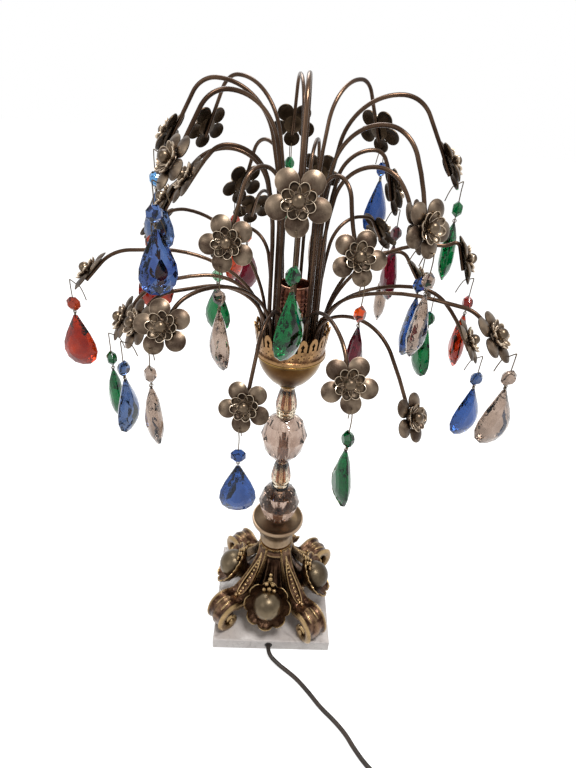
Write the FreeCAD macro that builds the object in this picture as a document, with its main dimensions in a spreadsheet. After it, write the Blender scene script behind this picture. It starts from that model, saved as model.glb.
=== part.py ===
import FreeCAD, Part
import math
import os
import re
from typing import NamedTuple

import Sketcher

# Prism table lamp, millimetres. +Z is up and the origin is on the stem's axis at the underside of the felt.
# Azimuths are degrees from +X, anticlockwise seen from above; the lamp's front faces -Y.

Vector = FreeCAD.Vector
UP = Vector(0, 0, 1)

doc = FreeCAD.newDocument("prism_table_lamp")

# Driving dimensions

DIMENSIONS = [
    ("plinth_side", 140.0, "side of the square marble plinth"),
    ("plinth_height", 15.5, "thickness of the marble"),
    ("plinth_chamfer", 1.0, "bevel round the marble's top"),
    ("plinth_turn", 3.0, "degrees that the plinth stands turned from the stem's front"),
    ("felt_height", 1.5, "thickness of the felt"),
    ("felt_margin", 2.0, "how far the felt stays inside the marble's edge"),
    ("recess_radius", 26.0, "recess for nut and cord under the marble"),
    ("recess_depth", 11.0, "depth of that recess"),
    ("running_gap", 0.4, "clearance of bores round the pipe and of plates in their seats"),
    ("pipe_radius", 4.8, "stem pipe, outside"),
    ("pipe_bore", 3.5, "stem pipe, bore radius"),
    ("pipe_start", 5.0, "height of the pipe's lower end"),
    ("nut_across", 14.0, "hexagon nuts, across flats"),
    ("nut_height", 4.5, "hexagon nuts, height"),
    ("washer_radius", 12.0, "bottom washer"),
    ("washer_height", 1.5, "bottom washer"),
    ("foot_height", 100.0, "cast foot, from marble to dish"),
    ("neck_radius", 19.6, "cast foot's neck"),
    ("bell_radius", 42.0, "cast foot's bell at its lower rim"),
    ("bell_wall", 4.0, "wall of the bell"),
    ("leg_width", 31.0, "width of a scroll foot"),
    ("strap_width", 15.0, "width of a leg's strap at the neck"),
    ("boss_radius", 17.5, "smooth ball in each side shell"),
    ("boss_reach", 52.0, "centre of the ball from the axis"),
    ("boss_height", 43.0, "centre of the ball above the marble"),
    ("shell_radius", 22.5, "circle of the shell's lobes"),
    ("shell_lobe", 5.6, "radius of one lobe"),
    ("shell_lean", 38.0, "degrees that a side shell leans back"),
    ("foot_turn", -4.5, "degrees that the cast foot stands turned from the stem's front"),
    ("dish_radius", 30.0, "dish under the lower ball, rim"),
    ("dish_height", 38.0, "dish, from the foot's neck to its rim"),
    ("dish_seat", 33.0, "height in the dish where the ball sits"),
    ("dish_wall", 1.8, "wall of the dish"),
    ("lower_ball_height", 51.0, "lower glass ball"),
    ("lower_ball_radius", 23.4, "lower glass ball at its widest"),
    ("lower_neck_height", 42.0, "lower glass neck"),
    ("upper_ball_height", 56.0, "upper glass ball"),
    ("upper_ball_radius", 24.6, "upper glass ball at its widest"),
    ("upper_neck_height", 37.0, "upper glass neck"),
    ("collar_radius", 9.2, "end faces of the glass balls"),
    ("glass_neck_belly", 11.0, "glass neck at its widest"),
    ("glass_neck_top", 6.6, "glass neck at its top"),
    ("cup_height", 41.0, "cup, from its bottom to its rim"),
    ("cup_radius", 30.5, "cup, outside"),
    ("cup_wall", 1.6, "wall of the cup"),
    ("cup_bottom_radius", 9.5, "flat under the cup"),
    ("ledge_drop", 3.0, "ledge below the cup's rim"),
    ("ledge_radius", 33.6, "ledge that carries the gallery"),
    ("ledge_height", 2.0, "thickness of the ledge"),
    ("gallery_height", 28.0, "gallery above the ledge"),
    ("gallery_top_radius", 35.6, "gallery at its lobes' tips"),
    ("gallery_wall", 1.2, "sheet of the gallery"),
    ("gallery_lobes", 20.0, "number of lobes"),
    ("plate_height", 4.0, "arm plate"),
    ("rod_across", 3.2, "arm wire, across"),
    ("rod_rise", 14.0, "least straight stretch of an arm above the plate"),
    ("rod_spread", 2.0, "height of an arm's bend over its width, at the most"),
    ("tail_before", 12.0, "straight end of an arm, above the flower's centre"),
    ("tail_after", 8.0, "straight end of an arm, below the flower's centre"),
    ("sheet_gauge", 0.8, "stamped sheet of the flowers"),
    ("petal_radius", 7.6, "outer petal"),
    ("petal_ring", 13.4, "centres of the outer petals"),
    ("petal_rise", 2.4, "how far a petal's middle is domed forward"),
    ("crown_radius", 11.8, "tips of the inner petals"),
    ("crown_rise", 3.6, "rise of the inner petals' tips"),
    ("seed_radius", 4.15, "ball in the flower's middle"),
    ("seed_height", 5.2, "middle of that ball above the flower's plate"),
    ("drop_hole", 17.0, "hook's hole from the flower's centre"),
    ("hook_wire", 0.9, "wire of the hooks"),
    ("hook_gap", 0.3, "clearance of the wire in its hole, all round"),
    ("hook_tail", 12.0, "free tail of the hook behind the flower"),
    ("bead_across", 12.0, "octagon bead"),
    ("bead_thickness", 7.6, "octagon bead"),
    ("link_length", 4.6, "connector between bead and prism"),
    ("prism_height", 49.0, "pear prism"),
    ("prism_width", 31.0, "pear prism"),
    ("prism_thickness", 11.5, "pear prism"),
    ("socket_cap_radius", 15.5, "socket cap"),
    ("socket_cap_height", 14.0, "socket cap"),
    ("insulator_height", 14.0, "socket insulator"),
    ("shell_bore", 13.4, "bore of the socket shell, radius"),
    ("shell_wall", 0.7, "sheet of the socket shell"),
    ("shell_height", 28.0, "socket shell"),
    ("contact_radius", 4.0, "centre contact"),
    ("contact_height", 4.0, "centre contact"),
    ("wire_across", 1.8, "supply wires"),
    ("wire_spacing", 2.6, "between the supply wires' centres"),
    ("cord_across", 5.0, "lamp cord"),
    ("cord_exit_height", 8.8, "height of the cord's bore in the plinth"),
    ("cord_exit_aside", 3.2, "the bore's distance to the left of the front's middle"),
    ("bushing_wall", 1.0, "cord bushing"),
    ("bushing_flange", 0.8, "flange of the bushing beyond its tube"),
    ("bushing_length", 9.0, "tube of the bushing inside the marble"),
    ("switch_length", 58.0, "cord switch"),
    ("switch_width", 22.0, "cord switch"),
    ("switch_height", 14.0, "cord switch"),
    ("rocker_length", 16.0, "rocker of the switch"),
    ("rocker_width", 9.0, "rocker of the switch"),
    ("rocker_tilt", 7.0, "degrees that the rocker leans to either side"),
    ("rocker_pin", 1.5, "radius of the rocker's pin"),
    ("pin_gap", 0.05, "running clearance of that pin"),
    ("coil_radius", 41.0, "outermost turn of the put-away cord"),
    ("coil_pitch", 5.8, "from turn to turn, also from layer to layer"),
    ("coil_turns", 3.5, "turns of one layer"),
    ("plug_length", 26.0, "plug body"),
    ("plug_width", 22.0, "plug body"),
    ("plug_height", 13.0, "plug body"),
    ("blade_length", 17.0, "plug blades"),
    ("blade_width", 6.3, "plug blades"),
    ("blade_gauge", 1.5, "plug blades"),
    ("blade_spacing", 12.7, "between the blades' centres"),
]

sizes = doc.addObject("Spreadsheet::Sheet", "Size")
for row, (alias, number, meaning) in enumerate(DIMENSIONS, start=1):
    sizes.set(f"A{row}", meaning)
    sizes.set(f"B{row}", str(number))
    sizes.setAlias(f"B{row}", alias)
doc.recompute()


def bound(text):
    """The expression with each alias named as a cell of the sheet."""
    return re.sub(r"[a-z]\w*\b(?!\()", r"Size.\g<0>", text)


def number(text):
    """The present value of an expression over the sheet's aliases."""
    return float(sizes.evalExpression(bound(text)))


class Arm(NamedTuple):
    """One bent arm in the vertical plane at its azimuth, with the place of its flower's ball."""

    name: str
    tier: str
    azimuth: float
    peak_reach: float
    peak_height: float
    ball_reach: float
    ball_height: float
    lean: float
    hook_length: float = 0.0
    twist: float = 0.0
    turn: float = 0.0


# Arms with hook_length 0 carry no drop. lean is the end's slope away from plumb, in degrees. twist is the
# way a prism's broad side faces, in degrees from square across the arm, and turn is the flower's turn about
# the arm's end, anticlockwise seen from above.
ARMS = [
    Arm("back_left_high", "top", 172, 71, 592, 115, 553, 30, 17, 79),
    Arm("left_bare", "top", 140, 77, 595, 122, 556, 30),
    Arm("front_left_high", "top", -145, 67, 586, 114, 545, 30, 16, -88),
    Arm("back_high", "top", 98, 68, 599, 103, 561, 25, 16, 50),
    Arm("back_right_high", "top", 50, 63, 598, 103, 563, 30, 15, 78),
    Arm("right_high", "top", 3, 69, 590, 118, 548, 30, 15.5, -14),
    Arm("front_right_lean", "top", -37.6, 68, 572, 117, 514, 15, 14, 4, -20),
    Arm("front_high", "top", -91, 68, 598, 115, 533, 14, 22, 52),
    Arm("left_mid_inner", "middle", -164, 60, 550, 95, 528, 35),
    Arm("left_mid_outer", "middle", -178, 59, 546, 114, 507, 30, 18, -80),
    Arm("back_left_mid", "middle", 130, 53, 550, 92, 511, 25, 17, 21),
    Arm("back_mid", "middle", 80, 55, 552, 84, 524, 25, 20, -82),
    Arm("front_left_mid", "middle", -127.8, 50, 540, 90, 493, 22, 17, -18, 32),
    Arm("front_right_mid", "middle", -55.6, 45, 537, 84, 490, 28, 20, 28, -25),
    Arm("right_mid", "middle", 12, 55, 551, 81, 523, 15, 14, 0),
    Arm("right_mid_front", "middle", -29, 62, 544, 102, 510, 20, 22, -4),
    Arm("left_low", "low", -172, 112, 467, 178, 450, 42, 16, 78),
    Arm("left_low_inner", "low", -162, 80, 451, 152, 418, 28, 18, 14),
    Arm("left_low_front", "low", -148, 85, 449, 146, 428, 28, 18, -46),
    Arm("front_left_low", "low", -131.9, 101, 458, 143, 442, 38, 15, -18, 35),
    Arm("front_low", "low", -107.9, 55, 433, 111, 377, 28, 20, 23, 12),
    Arm("front_right_low", "low", -71.1, 86, 444, 137, 419, 30, 19, 86, -15),
    Arm("right_front_bare", "low", -42, 73, 432, 141, 372, 28),
    Arm("right_front_low", "low", -33, 125, 464, 177, 450, 42, 14, -38),
    Arm("right_low", "low", -15, 105, 455, 158, 419, 32, 16, -50),
    Arm("right_low_high", "low", -6.2, 116, 487, 142.5, 479, 20, 16, 0),
    Arm("back_right_low", "low", 4, 86, 474, 115, 453, 35, 20, 14),
    Arm("back_right_mid", "low", 35, 62, 494, 95, 482, 35, 16, -45),
    Arm("back_left_low", "low", 115, 80, 503, 122, 482, 35, 17, 15),
    Arm("left_back_low", "low", 159, 110, 488, 148, 474, 40),
    Arm("behind_left_low", "low", 145, 56, 478, 86, 459, 30, 16, -81),
]
FOOT_REACH = {"top": 18.0, "middle": 22.5, "low": 27.5}


def at_azimuth(reach, height, azimuth):
    """The point at a reach from the stem's axis."""
    turn = math.radians(azimuth)
    return Vector(reach * math.cos(turn), reach * math.sin(turn), height)


# Solids from lines and facets


def solid_of(loops):
    """A closed solid whose faces are the flat loops of points."""
    faces = [Part.Face(Part.makePolygon(loop + loop[:1])) for loop in loops]
    solid = Part.Solid(Part.Shell(faces))
    if solid.Volume < 0:
        solid.reverse()
    return solid


def ring_bands(rings):
    """Loops between rings of equal count, in triangles, or quads where two rings line up."""
    loops = []
    for low, high in zip(rings, rings[1:]):
        count = len(low)
        for here in range(count):
            after = (here + 1) % count
            loops.append([low[here], low[after], high[after]])
            loops.append([low[here], high[after], high[here]])
    return loops


def turned_facets(levels, count):
    """A cut-glass form: rings of (radius, height, half-steps turned), joined in triangles, with flat ends."""
    rings = []
    for radius, height, halves in levels:
        start = halves * math.pi / count
        rings.append([Vector(radius * math.cos(start + 2 * math.pi * step / count),
                             radius * math.sin(start + 2 * math.pi * step / count), height)
                      for step in range(count)])
    loops = [rings[0][::-1], rings[-1]]
    for (low, low_level), (high, high_level) in zip(zip(rings, levels), list(zip(rings, levels))[1:]):
        lag = int(high_level[2] - low_level[2])
        for here in range(count):
            after = (here + 1) % count
            if lag == 0:
                loops.append([low[here], low[after], high[after], high[here]])
            elif lag > 0:
                loops.append([low[here], low[after], high[here]])
                loops.append([low[after], high[after], high[here]])
            else:
                loops.append([low[here], high[after], high[here]])
                loops.append([low[here], low[after], high[after]])
    return solid_of(loops)


def bored(shape, radius):
    """The shape with a hole along the stem's axis."""
    box = shape.BoundBox
    return shape.cut(Part.makeCylinder(radius, box.ZLength + 2, Vector(0, 0, box.ZMin - 1)))


def mitred_wire(points, across, side, corners=6):
    """A straight-sided wire of polygon section along points in one plane, mitred at each corner.

    side is the plane's normal. A flat of the section faces the inside of the bends.
    """
    apothem = across / 2
    reach = apothem / math.cos(math.pi / corners)
    rings = []
    for here, point in enumerate(points):
        before = (point - points[here - 1]).normalize() if here else None
        after = (points[here + 1] - point).normalize() if here + 1 < len(points) else None
        along = (before or after) + (after or before)
        along.normalize()
        stretch = 1 / along.dot(before or after)
        inward = side.cross(along).normalize() * stretch
        rings.append([point + inward * (reach * math.cos(turn)) + side * (reach * math.sin(turn))
                      for turn in [math.pi * (2 * step + 1) / corners for step in range(corners)]])
    loops = [rings[0][::-1], rings[-1]]
    for low, high in zip(rings, rings[1:]):
        for here in range(corners):
            after = (here + 1) % corners
            loops.append([low[here], low[after], high[after], high[here]])
    return solid_of(loops)


def arc_middle(start, heading, end):
    """The middle of the arc from start, leaving along heading, to end, or None where it is straight."""
    chord = end - start
    half = chord.Length / 2
    ahead = Vector(chord).normalize()
    aside = heading - ahead * heading.dot(ahead)
    if aside.Length < 1e-6:
        return None
    angle = math.atan2(aside.Length, heading.dot(ahead))
    return start + chord * 0.5 + aside.normalize() * (half * math.tan(angle / 2))


def biarc(start, heading, end, last_heading):
    """The joint of the two arcs that lead from start to end with the given headings."""
    chord = end - start
    both = heading + last_heading
    spread = 2 * (1 - heading.dot(last_heading))
    lean = chord.dot(both)
    if spread < 1e-9:
        reach = chord.dot(chord) / (4 * chord.dot(last_heading))
    else:
        reach = (-lean + math.sqrt(lean * lean + spread * chord.dot(chord))) / spread
    return (start + end + (heading - last_heading) * reach) * 0.5


def biarc_edges(stations):
    """Edges of arcs through stations of (point, heading)."""
    edges = []
    for (start, heading), (end, last_heading) in zip(stations, stations[1:]):
        joint = biarc(start, heading, end, last_heading)
        middle = arc_middle(start, heading, joint)
        edges.append(Part.Arc(start, middle, joint).toShape() if middle else Part.makeLine(start, joint))
        middle = arc_middle(end, last_heading * -1, joint)
        edges.append(Part.Arc(joint, middle, end).toShape() if middle else Part.makeLine(joint, end))
    return edges


def rounded_edges(points, share=0.45):
    """Straight runs through the points, joined by tangent arcs as large as the runs allow."""
    edges = []
    radii = []
    last = points[0]
    for before, point, after in zip(points, points[1:], points[2:]):
        into = (point - before).normalize()
        out = (after - point).normalize()
        turn = into.getAngle(out)
        cut = share * min((point - before).Length, (after - point).Length)
        radii.append(cut / math.tan(turn / 2))
        start = point - into * cut
        end = point + out * cut
        edges.append(Part.makeLine(last, start))
        edges.append(Part.Arc(start, arc_middle(start, into, end), end).toShape())
        last = end
    edges.append(Part.makeLine(last, points[-1]))
    return edges, radii


def section_wire(centre, heading, across, corners):
    """The outline of a wire's section: a polygon of equal flats, square to the heading."""
    aside = heading.cross(UP).normalize()
    above = aside.cross(heading)
    reach = across / 2 / math.cos(math.pi / corners)
    points = [centre + aside * (reach * math.cos(turn)) + above * (reach * math.sin(turn))
              for turn in [math.pi * (2 * step + 1) / corners for step in range(corners + 1)]]
    return Part.makePolygon(points)


def tube_along(edges, across, corners=6):
    """A solid wire or cord swept along tangent edges."""
    spine = Part.Wire(edges)
    first = edges[0]
    section = section_wire(first.valueAt(first.FirstParameter), first.tangentAt(first.FirstParameter),
                           across, corners)
    shell = Part.BRepOffsetAPI.MakePipeShell(spine)
    shell.add(section)
    shell.build()
    shell.makeSolid()
    return shell.shape()


# Document objects


def feature(label, shape):
    """An object that holds a shape made from the sheet's values."""
    item = doc.addObject("Part::Feature", label)
    item.Label = label
    item.Shape = shape
    return item


def primitive(kind, label, placement=None, **expressions):
    """A Part primitive whose sizes are bound to the sheet."""
    item = doc.addObject(kind, label)
    item.Label = label
    if placement:
        item.Placement = placement
    for name, text in expressions.items():
        item.setExpression(name.replace("__", "."), bound(text))
    doc.recompute()
    return item


def cut(label, base, tool):
    """base without tool."""
    item = doc.addObject("Part::Cut", label)
    item.Label = label
    item.Base = base
    item.Tool = tool
    return item


def new_body(label):
    """An empty body under its own name."""
    body = doc.addObject("PartDesign::Body", label)
    body.Label = label
    return body


def origin_plane(body, role):
    """One of the body's own origin planes."""
    return [plane for plane in body.Origin.OriginFeatures if plane.Role == role][0]


def outline_sketch(body, name, role, corners):
    """A closed outline in an origin plane.

    Each corner is (across, up) or (across, up, radius), all expressions over the sheet. A radius makes
    the stretch that leads to the corner an arc; a minus sign before it puts the bulge on the right.
    """
    sketch = body.newObject("Sketcher::SketchObject", name)
    sketch.AttachmentSupport = (origin_plane(body, role), [""])
    sketch.MapMode = "FlatFace"
    places = [Vector(number(corner[0]), number(corner[1]), 0) for corner in corners]
    count = len(corners)
    for here in range(count):
        start, end = places[here], places[(here + 1) % count]
        corner = corners[(here + 1) % count]
        if len(corner) > 2:
            radius = number(corner[2].lstrip("-"))
            chord = end - start
            left = Vector(-chord.y, chord.x, 0).normalize()
            side = -1 if corner[2].startswith("-") else 1
            centre = start + chord * 0.5 - left * (side * math.sqrt(radius ** 2 - (chord.Length / 2) ** 2))
            rays = [place - centre for place in ((end, start) if side > 0 else (start, end))]
            begin, finish = [math.atan2(ray.y, ray.x) for ray in rays]
            circle = Part.Circle(centre, Vector(0, 0, 1), radius)
            sketch.addGeometry(Part.ArcOfCircle(circle, begin, finish + (2 * math.pi if finish < begin else 0)))
        else:
            sketch.addGeometry(Part.LineSegment(start, end), False)
    ends = [1 if (curve.StartPoint - place).Length < (curve.EndPoint - place).Length else 2
            for curve, place in zip(sketch.Geometry, places)]
    links = [Sketcher.Constraint("Coincident", here, 3 - ends[here], (here + 1) % count, ends[(here + 1) % count])
             for here in range(count)]
    driven = []
    for here, corner in enumerate(corners):
        driven.append((Sketcher.Constraint("DistanceX", -1, 1, here, ends[here], number(corner[0])), corner[0]))
        driven.append((Sketcher.Constraint("DistanceY", -1, 1, here, ends[here], number(corner[1])), corner[1]))
        if len(corner) > 2:
            text = corner[2].lstrip("-")
            driven.append((Sketcher.Constraint("Radius", (here - 1) % count, number(text)), text))
    sketch.addConstraint(links + [constraint for constraint, _ in driven])
    for index, (_, text) in enumerate(driven, start=count):
        sketch.setExpression(f"Constraints[{index}]", bound(text))
    return sketch


def turned(label, corners):
    """A body turned about the stem's axis from its half section."""
    body = new_body(label)
    sketch = outline_sketch(body, label + "_section", "XZ_Plane", corners)
    turn = body.newObject("PartDesign::Revolution", label + "_turning")
    turn.Profile = sketch
    turn.ReferenceAxis = (sketch, ["V_Axis"])
    turn.Angle = 360
    return body


def circle_sketch(body, name, role, across, up, radius):
    """A circle in an origin plane."""
    sketch = body.newObject("Sketcher::SketchObject", name)
    sketch.AttachmentSupport = (origin_plane(body, role), [""])
    sketch.MapMode = "FlatFace"
    centre = Vector(number(across) if across else 0, number(up) if up else 0, 0)
    sketch.addGeometry(Part.Circle(centre, Vector(0, 0, 1), number(radius)), False)
    index = sketch.addConstraint(Sketcher.Constraint("Radius", 0, number(radius)))
    sketch.setExpression(f"Constraints[{index}]", bound(radius))
    for kind, axis, text in (("DistanceX", -2, across), ("DistanceY", -1, up)):
        if text:
            index = sketch.addConstraint(Sketcher.Constraint(kind, -1, 1, 0, 3, number(text)))
            sketch.setExpression(f"Constraints[{index}]", bound(text))
        else:
            sketch.addConstraint(Sketcher.Constraint("PointOnObject", 0, 3, axis))
    return sketch


def square_sketch(body, name, side):
    """A square round the origin in the body's ground plane."""
    sketch = body.newObject("Sketcher::SketchObject", name)
    sketch.AttachmentSupport = (origin_plane(body, "XY_Plane"), [""])
    sketch.MapMode = "FlatFace"
    half = number(side) / 2
    places = [Vector(-half, -half, 0), Vector(half, -half, 0), Vector(half, half, 0), Vector(-half, half, 0)]
    for here in range(4):
        sketch.addGeometry(Part.LineSegment(places[here], places[(here + 1) % 4]), False)
    for here in range(4):
        sketch.addConstraint(Sketcher.Constraint("Coincident", here, 2, (here + 1) % 4, 1))
    for edge, kind in ((0, "Horizontal"), (1, "Vertical"), (2, "Horizontal"), (3, "Vertical")):
        sketch.addConstraint(Sketcher.Constraint(kind, edge))
    sketch.addConstraint(Sketcher.Constraint("Symmetric", 0, 1, 1, 2, -1, 1))
    for edge, kind in ((0, "DistanceX"), (1, "DistanceY")):
        index = sketch.addConstraint(Sketcher.Constraint(kind, edge, 1, edge, 2, 2 * half))
        sketch.setExpression(f"Constraints[{index}]", bound(side))
    return sketch


def pad(body, name, sketch, length):
    """The sketch raised by a length."""
    item = body.newObject("PartDesign::Pad", name)
    item.Profile = sketch
    item.setExpression("Length", bound(length))
    doc.recompute()
    return item


def pocket(body, name, sketch, length, backwards=False):
    """The sketch sunk into the body; it has to take material away."""
    before = body.Shape.Volume
    item = body.newObject("PartDesign::Pocket", name)
    item.Profile = sketch
    item.Reversed = backwards
    item.setExpression("Length", bound(length))
    doc.recompute()
    if body.Shape.Volume > before - 1:
        raise RuntimeError(f"{name} cuts nothing")
    return item


# Heights up the stem

PLINTH_TOP = "felt_height + plinth_height"
NECK_TOP = f"{PLINTH_TOP} + foot_height"
LOWER_BALL = f"{NECK_TOP} + dish_seat"
LOWER_NECK = f"{LOWER_BALL} + lower_ball_height"
UPPER_BALL = f"{LOWER_NECK} + lower_neck_height"
UPPER_NECK = f"{UPPER_BALL} + upper_ball_height"
CUP_BOTTOM = f"{UPPER_NECK} + upper_neck_height"
CUP_RIM = f"{CUP_BOTTOM} + cup_height"
LEDGE_TOP = f"{CUP_RIM} - ledge_drop"
PLATE_TOP = f"{CUP_RIM} + plate_height"
NUT_TOP = f"{PLATE_TOP} + nut_height"
CAP_TOP = f"{NUT_TOP} + socket_cap_height"
INSULATOR_TOP = f"{CAP_TOP} + insulator_height"
CONTACT_FOOT = f"{INSULATOR_TOP} - contact_height"


# Plinth


def make_felt():
    body = new_body("base_felt")
    pad(body, "felt_sheet", square_sketch(body, "felt_outline", "plinth_side - 2 * felt_margin"), "felt_height")
    body.Placement = FreeCAD.Placement(Vector(), FreeCAD.Rotation(UP, sizes.plinth_turn))
    return body


def make_plinth():
    body = new_body("marble_plinth")
    slab = pad(body, "slab", square_sketch(body, "slab_outline", "plinth_side"), "plinth_height")
    rim = [f"Edge{index}" for index, edge in enumerate(slab.Shape.Edges, start=1)
           if edge.BoundBox.ZMin > sizes.plinth_height - 0.01]
    bevel = body.newObject("PartDesign::Chamfer", "slab_bevel")
    bevel.Base = (slab, rim)
    bevel.setExpression("Size", bound("plinth_chamfer"))
    doc.recompute()
    pocket(body, "recess", circle_sketch(body, "recess_circle", "XY_Plane", "", "", "recess_radius"),
           "recess_depth", True)
    pocket(body, "pipe_hole", circle_sketch(body, "pipe_circle", "XY_Plane", "", "", "pipe_radius + running_gap"),
           "plinth_height", True)
    height = "cord_exit_height - felt_height"
    pocket(body, "cord_bore", circle_sketch(body, "cord_circle", "XZ_Plane", "-cord_exit_aside", height,
                                            "cord_across / 2 / cos(30) + running_gap / 4 + bushing_wall"),
           "plinth_side / 2", True)
    mouth = Vector(-sizes.cord_exit_aside, 1 - sizes.plinth_side / 2, number(height))
    if body.Shape.isInside(mouth, 0.01, True):
        raise RuntimeError("the cord's bore opens at the back")
    body.Placement = FreeCAD.Placement(Vector(0, 0, sizes.felt_height), FreeCAD.Rotation(UP, sizes.plinth_turn))
    return body


# Cast foot

# The leg's side view: (reach, height above the marble, bulge). The bulge is an arc's rise over half its
# chord for the stretch that leads to the point, above zero where the leg swells.
LEG_OUTLINE = [
    (16.0, 97.0, 0.0),
    (21.0, 76.0, -0.10),
    (50.0, 36.0, -0.15),
    (70.0, 41.0, 0.35),
    (90.0, 25.0, 0.42),
    (86.0, 4.0, 0.25),
    (82.0, 0.0, 0.30),
    (72.0, 0.0, 0.0),
    (65.0, 8.0, 0.35),
    (70.0, 19.0, 0.50),
    (79.0, 13.0, 0.65),
    (82.0, 22.0, -0.45),
    (68.0, 30.0, -0.30),
    (52.0, 24.0, -0.20),
    (36.0, 33.0, 0.0),
    (16.0, 70.0, 0.0),
]


def leg_shape():
    """One scroll foot with its strap, along +X, standing on the marble."""
    base = number(PLINTH_TOP)
    places = [Vector(reach, 0, base + height) for reach, height, _ in LEG_OUTLINE]
    edges = []
    for here, start in enumerate(places):
        after = (here + 1) % len(places)
        end = places[after]
        bulge = LEG_OUTLINE[after][2]
        chord = end - start
        left = Vector(-chord.z, 0, chord.x)
        if bulge:
            edges.append(Part.Arc(start, start + chord * 0.5 + left * (bulge / 2), end).toShape())
        else:
            edges.append(Part.makeLine(start, end))
    side = Part.Face(Part.Wire(edges))
    half = sizes.leg_width / 2
    side.translate(Vector(0, -half, 0))
    leg = side.extrude(Vector(0, 2 * half, 0))
    narrow = sizes.strap_width / 2
    reach = places[4].x + half
    plan = [Vector(0, -narrow, 0), Vector(places[1].x, -narrow, 0), Vector(places[3].x, -half, 0),
            Vector(reach, -half, 0), Vector(reach, half, 0), Vector(places[3].x, half, 0),
            Vector(places[1].x, narrow, 0), Vector(0, narrow, 0)]
    taper = Part.Face(Part.makePolygon(plan + plan[:1])).extrude(UP * (base + sizes.foot_height))
    return leg.common(taper)


def shell_shape():
    """One side shell with its ball, facing +X."""
    lobes = 8
    centres = [Vector(0, sizes.shell_radius * math.cos(2 * math.pi * (step + 0.5) / lobes),
                      sizes.shell_radius * math.sin(2 * math.pi * (step + 0.5) / lobes)) for step in range(lobes)]
    edges = []
    for here, centre in enumerate(centres):
        before = (centres[here - 1] + centre) * 0.5
        after = (centres[(here + 1) % lobes] + centre) * 0.5
        outward = Vector(centre).normalize()
        edges.append(Part.Arc(before, centre + outward * sizes.shell_lobe, after).toShape())
    depth = sizes.shell_lobe
    plate = Part.Face(Part.Wire(edges)).extrude(Vector(-depth, 0, 0))
    dished = Part.makeCone(sizes.boss_radius, sizes.shell_radius + sizes.shell_lobe, depth, Vector(-depth * 0.4, 0, 0),
                           Vector(1, 0, 0))
    ball = Part.makeSphere(sizes.boss_radius)
    stalk = Part.makeCylinder(sizes.boss_radius * 0.7, sizes.boss_reach * 0.6, Vector(), Vector(-1, 0, 0))
    shell = plate.cut(dished).fuse([ball, stalk])
    shell.rotate(Vector(), Vector(0, 1, 0), -sizes.shell_lean)
    shell.translate(Vector(sizes.boss_reach, 0, number(PLINTH_TOP) + sizes.boss_height))
    return shell


def make_foot():
    core = turned("foot_bell", [
        ("pipe_radius + running_gap", f"{PLINTH_TOP} + 0.72 * foot_height"),
        ("bell_radius * 0.35", f"{PLINTH_TOP} + 0.68 * foot_height"),
        ("bell_radius - bell_wall", f"{PLINTH_TOP} + 0.22 * foot_height"),
        ("bell_radius", f"{PLINTH_TOP} + 0.22 * foot_height"),
        ("bell_radius", f"{PLINTH_TOP} + 0.27 * foot_height"),
        ("neck_radius * 0.96", f"{PLINTH_TOP} + 0.85 * foot_height", "-foot_height * 0.9"),
        ("neck_radius", NECK_TOP),
        ("pipe_radius + running_gap", NECK_TOP),
    ])
    doc.recompute()
    leg = leg_shape()
    shell = shell_shape()
    shapes = []
    for step in range(4):
        scroll = leg.copy()
        scroll.rotate(Vector(), UP, sizes.foot_turn + 45 + 90 * step)
        shapes.append(scroll)
        side = shell.copy()
        side.rotate(Vector(), UP, sizes.foot_turn + 90 * step)
        shapes.append(side)
    hole = Part.makeCylinder(sizes.pipe_radius + sizes.running_gap, number(NECK_TOP))
    solid = core.Shape.fuse(shapes).cut(hole)
    return feature("cast_foot", solid.removeSplitter())


# Stem


def make_stem():
    bore = "pipe_radius + running_gap"
    turned("foot_dish", [
        (bore, NECK_TOP),
        ("neck_radius * 0.8", NECK_TOP),
        ("neck_radius", f"{NECK_TOP} + 0.1 * dish_height"),
        ("neck_radius * 0.93", f"{NECK_TOP} + 0.45 * dish_height"),
        ("dish_radius", f"{NECK_TOP} + 0.88 * dish_height", "-dish_height"),
        ("dish_radius", f"{NECK_TOP} + 0.94 * dish_height"),
        ("dish_radius - dish_wall", f"{NECK_TOP} + dish_height"),
        ("dish_radius - 2 * dish_wall", f"{NECK_TOP} + 0.95 * dish_height"),
        ("collar_radius + dish_wall", LOWER_BALL),
        (bore, LOWER_BALL),
    ])
    stem_glass("lower_glass_ball", LOWER_BALL, "lower_ball_height", "lower_ball_radius")
    glass_neck("lower_glass_neck", LOWER_NECK, "lower_neck_height")
    stem_glass("upper_glass_ball", UPPER_BALL, "upper_ball_height", "upper_ball_radius")
    glass_neck("upper_glass_neck", UPPER_NECK, "upper_neck_height")
    pipe = turned("stem_pipe", [
        ("pipe_bore", "pipe_start"),
        ("pipe_radius", "pipe_start"),
        ("pipe_radius", f"{NUT_TOP} + socket_cap_height / 2"),
        ("pipe_bore", f"{NUT_TOP} + socket_cap_height / 2"),
    ])
    return pipe


def stem_glass(label, bottom, height, radius):
    """A cut-glass ball: kite facets above and below a girdle of points."""
    base, tall, wide = number(bottom), number(height), number(radius)
    collar = sizes.collar_radius
    levels = [
        (collar, base, 0),
        (wide * 0.80, base + tall * 0.24, 1),
        (wide * 1.00, base + tall * 0.58, 2),
        (wide * 0.78, base + tall * 0.86, 1),
        (collar, base + tall, 0),
    ]
    return feature(label, bored(turned_facets(levels, 12), sizes.pipe_radius + sizes.running_gap))


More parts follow.
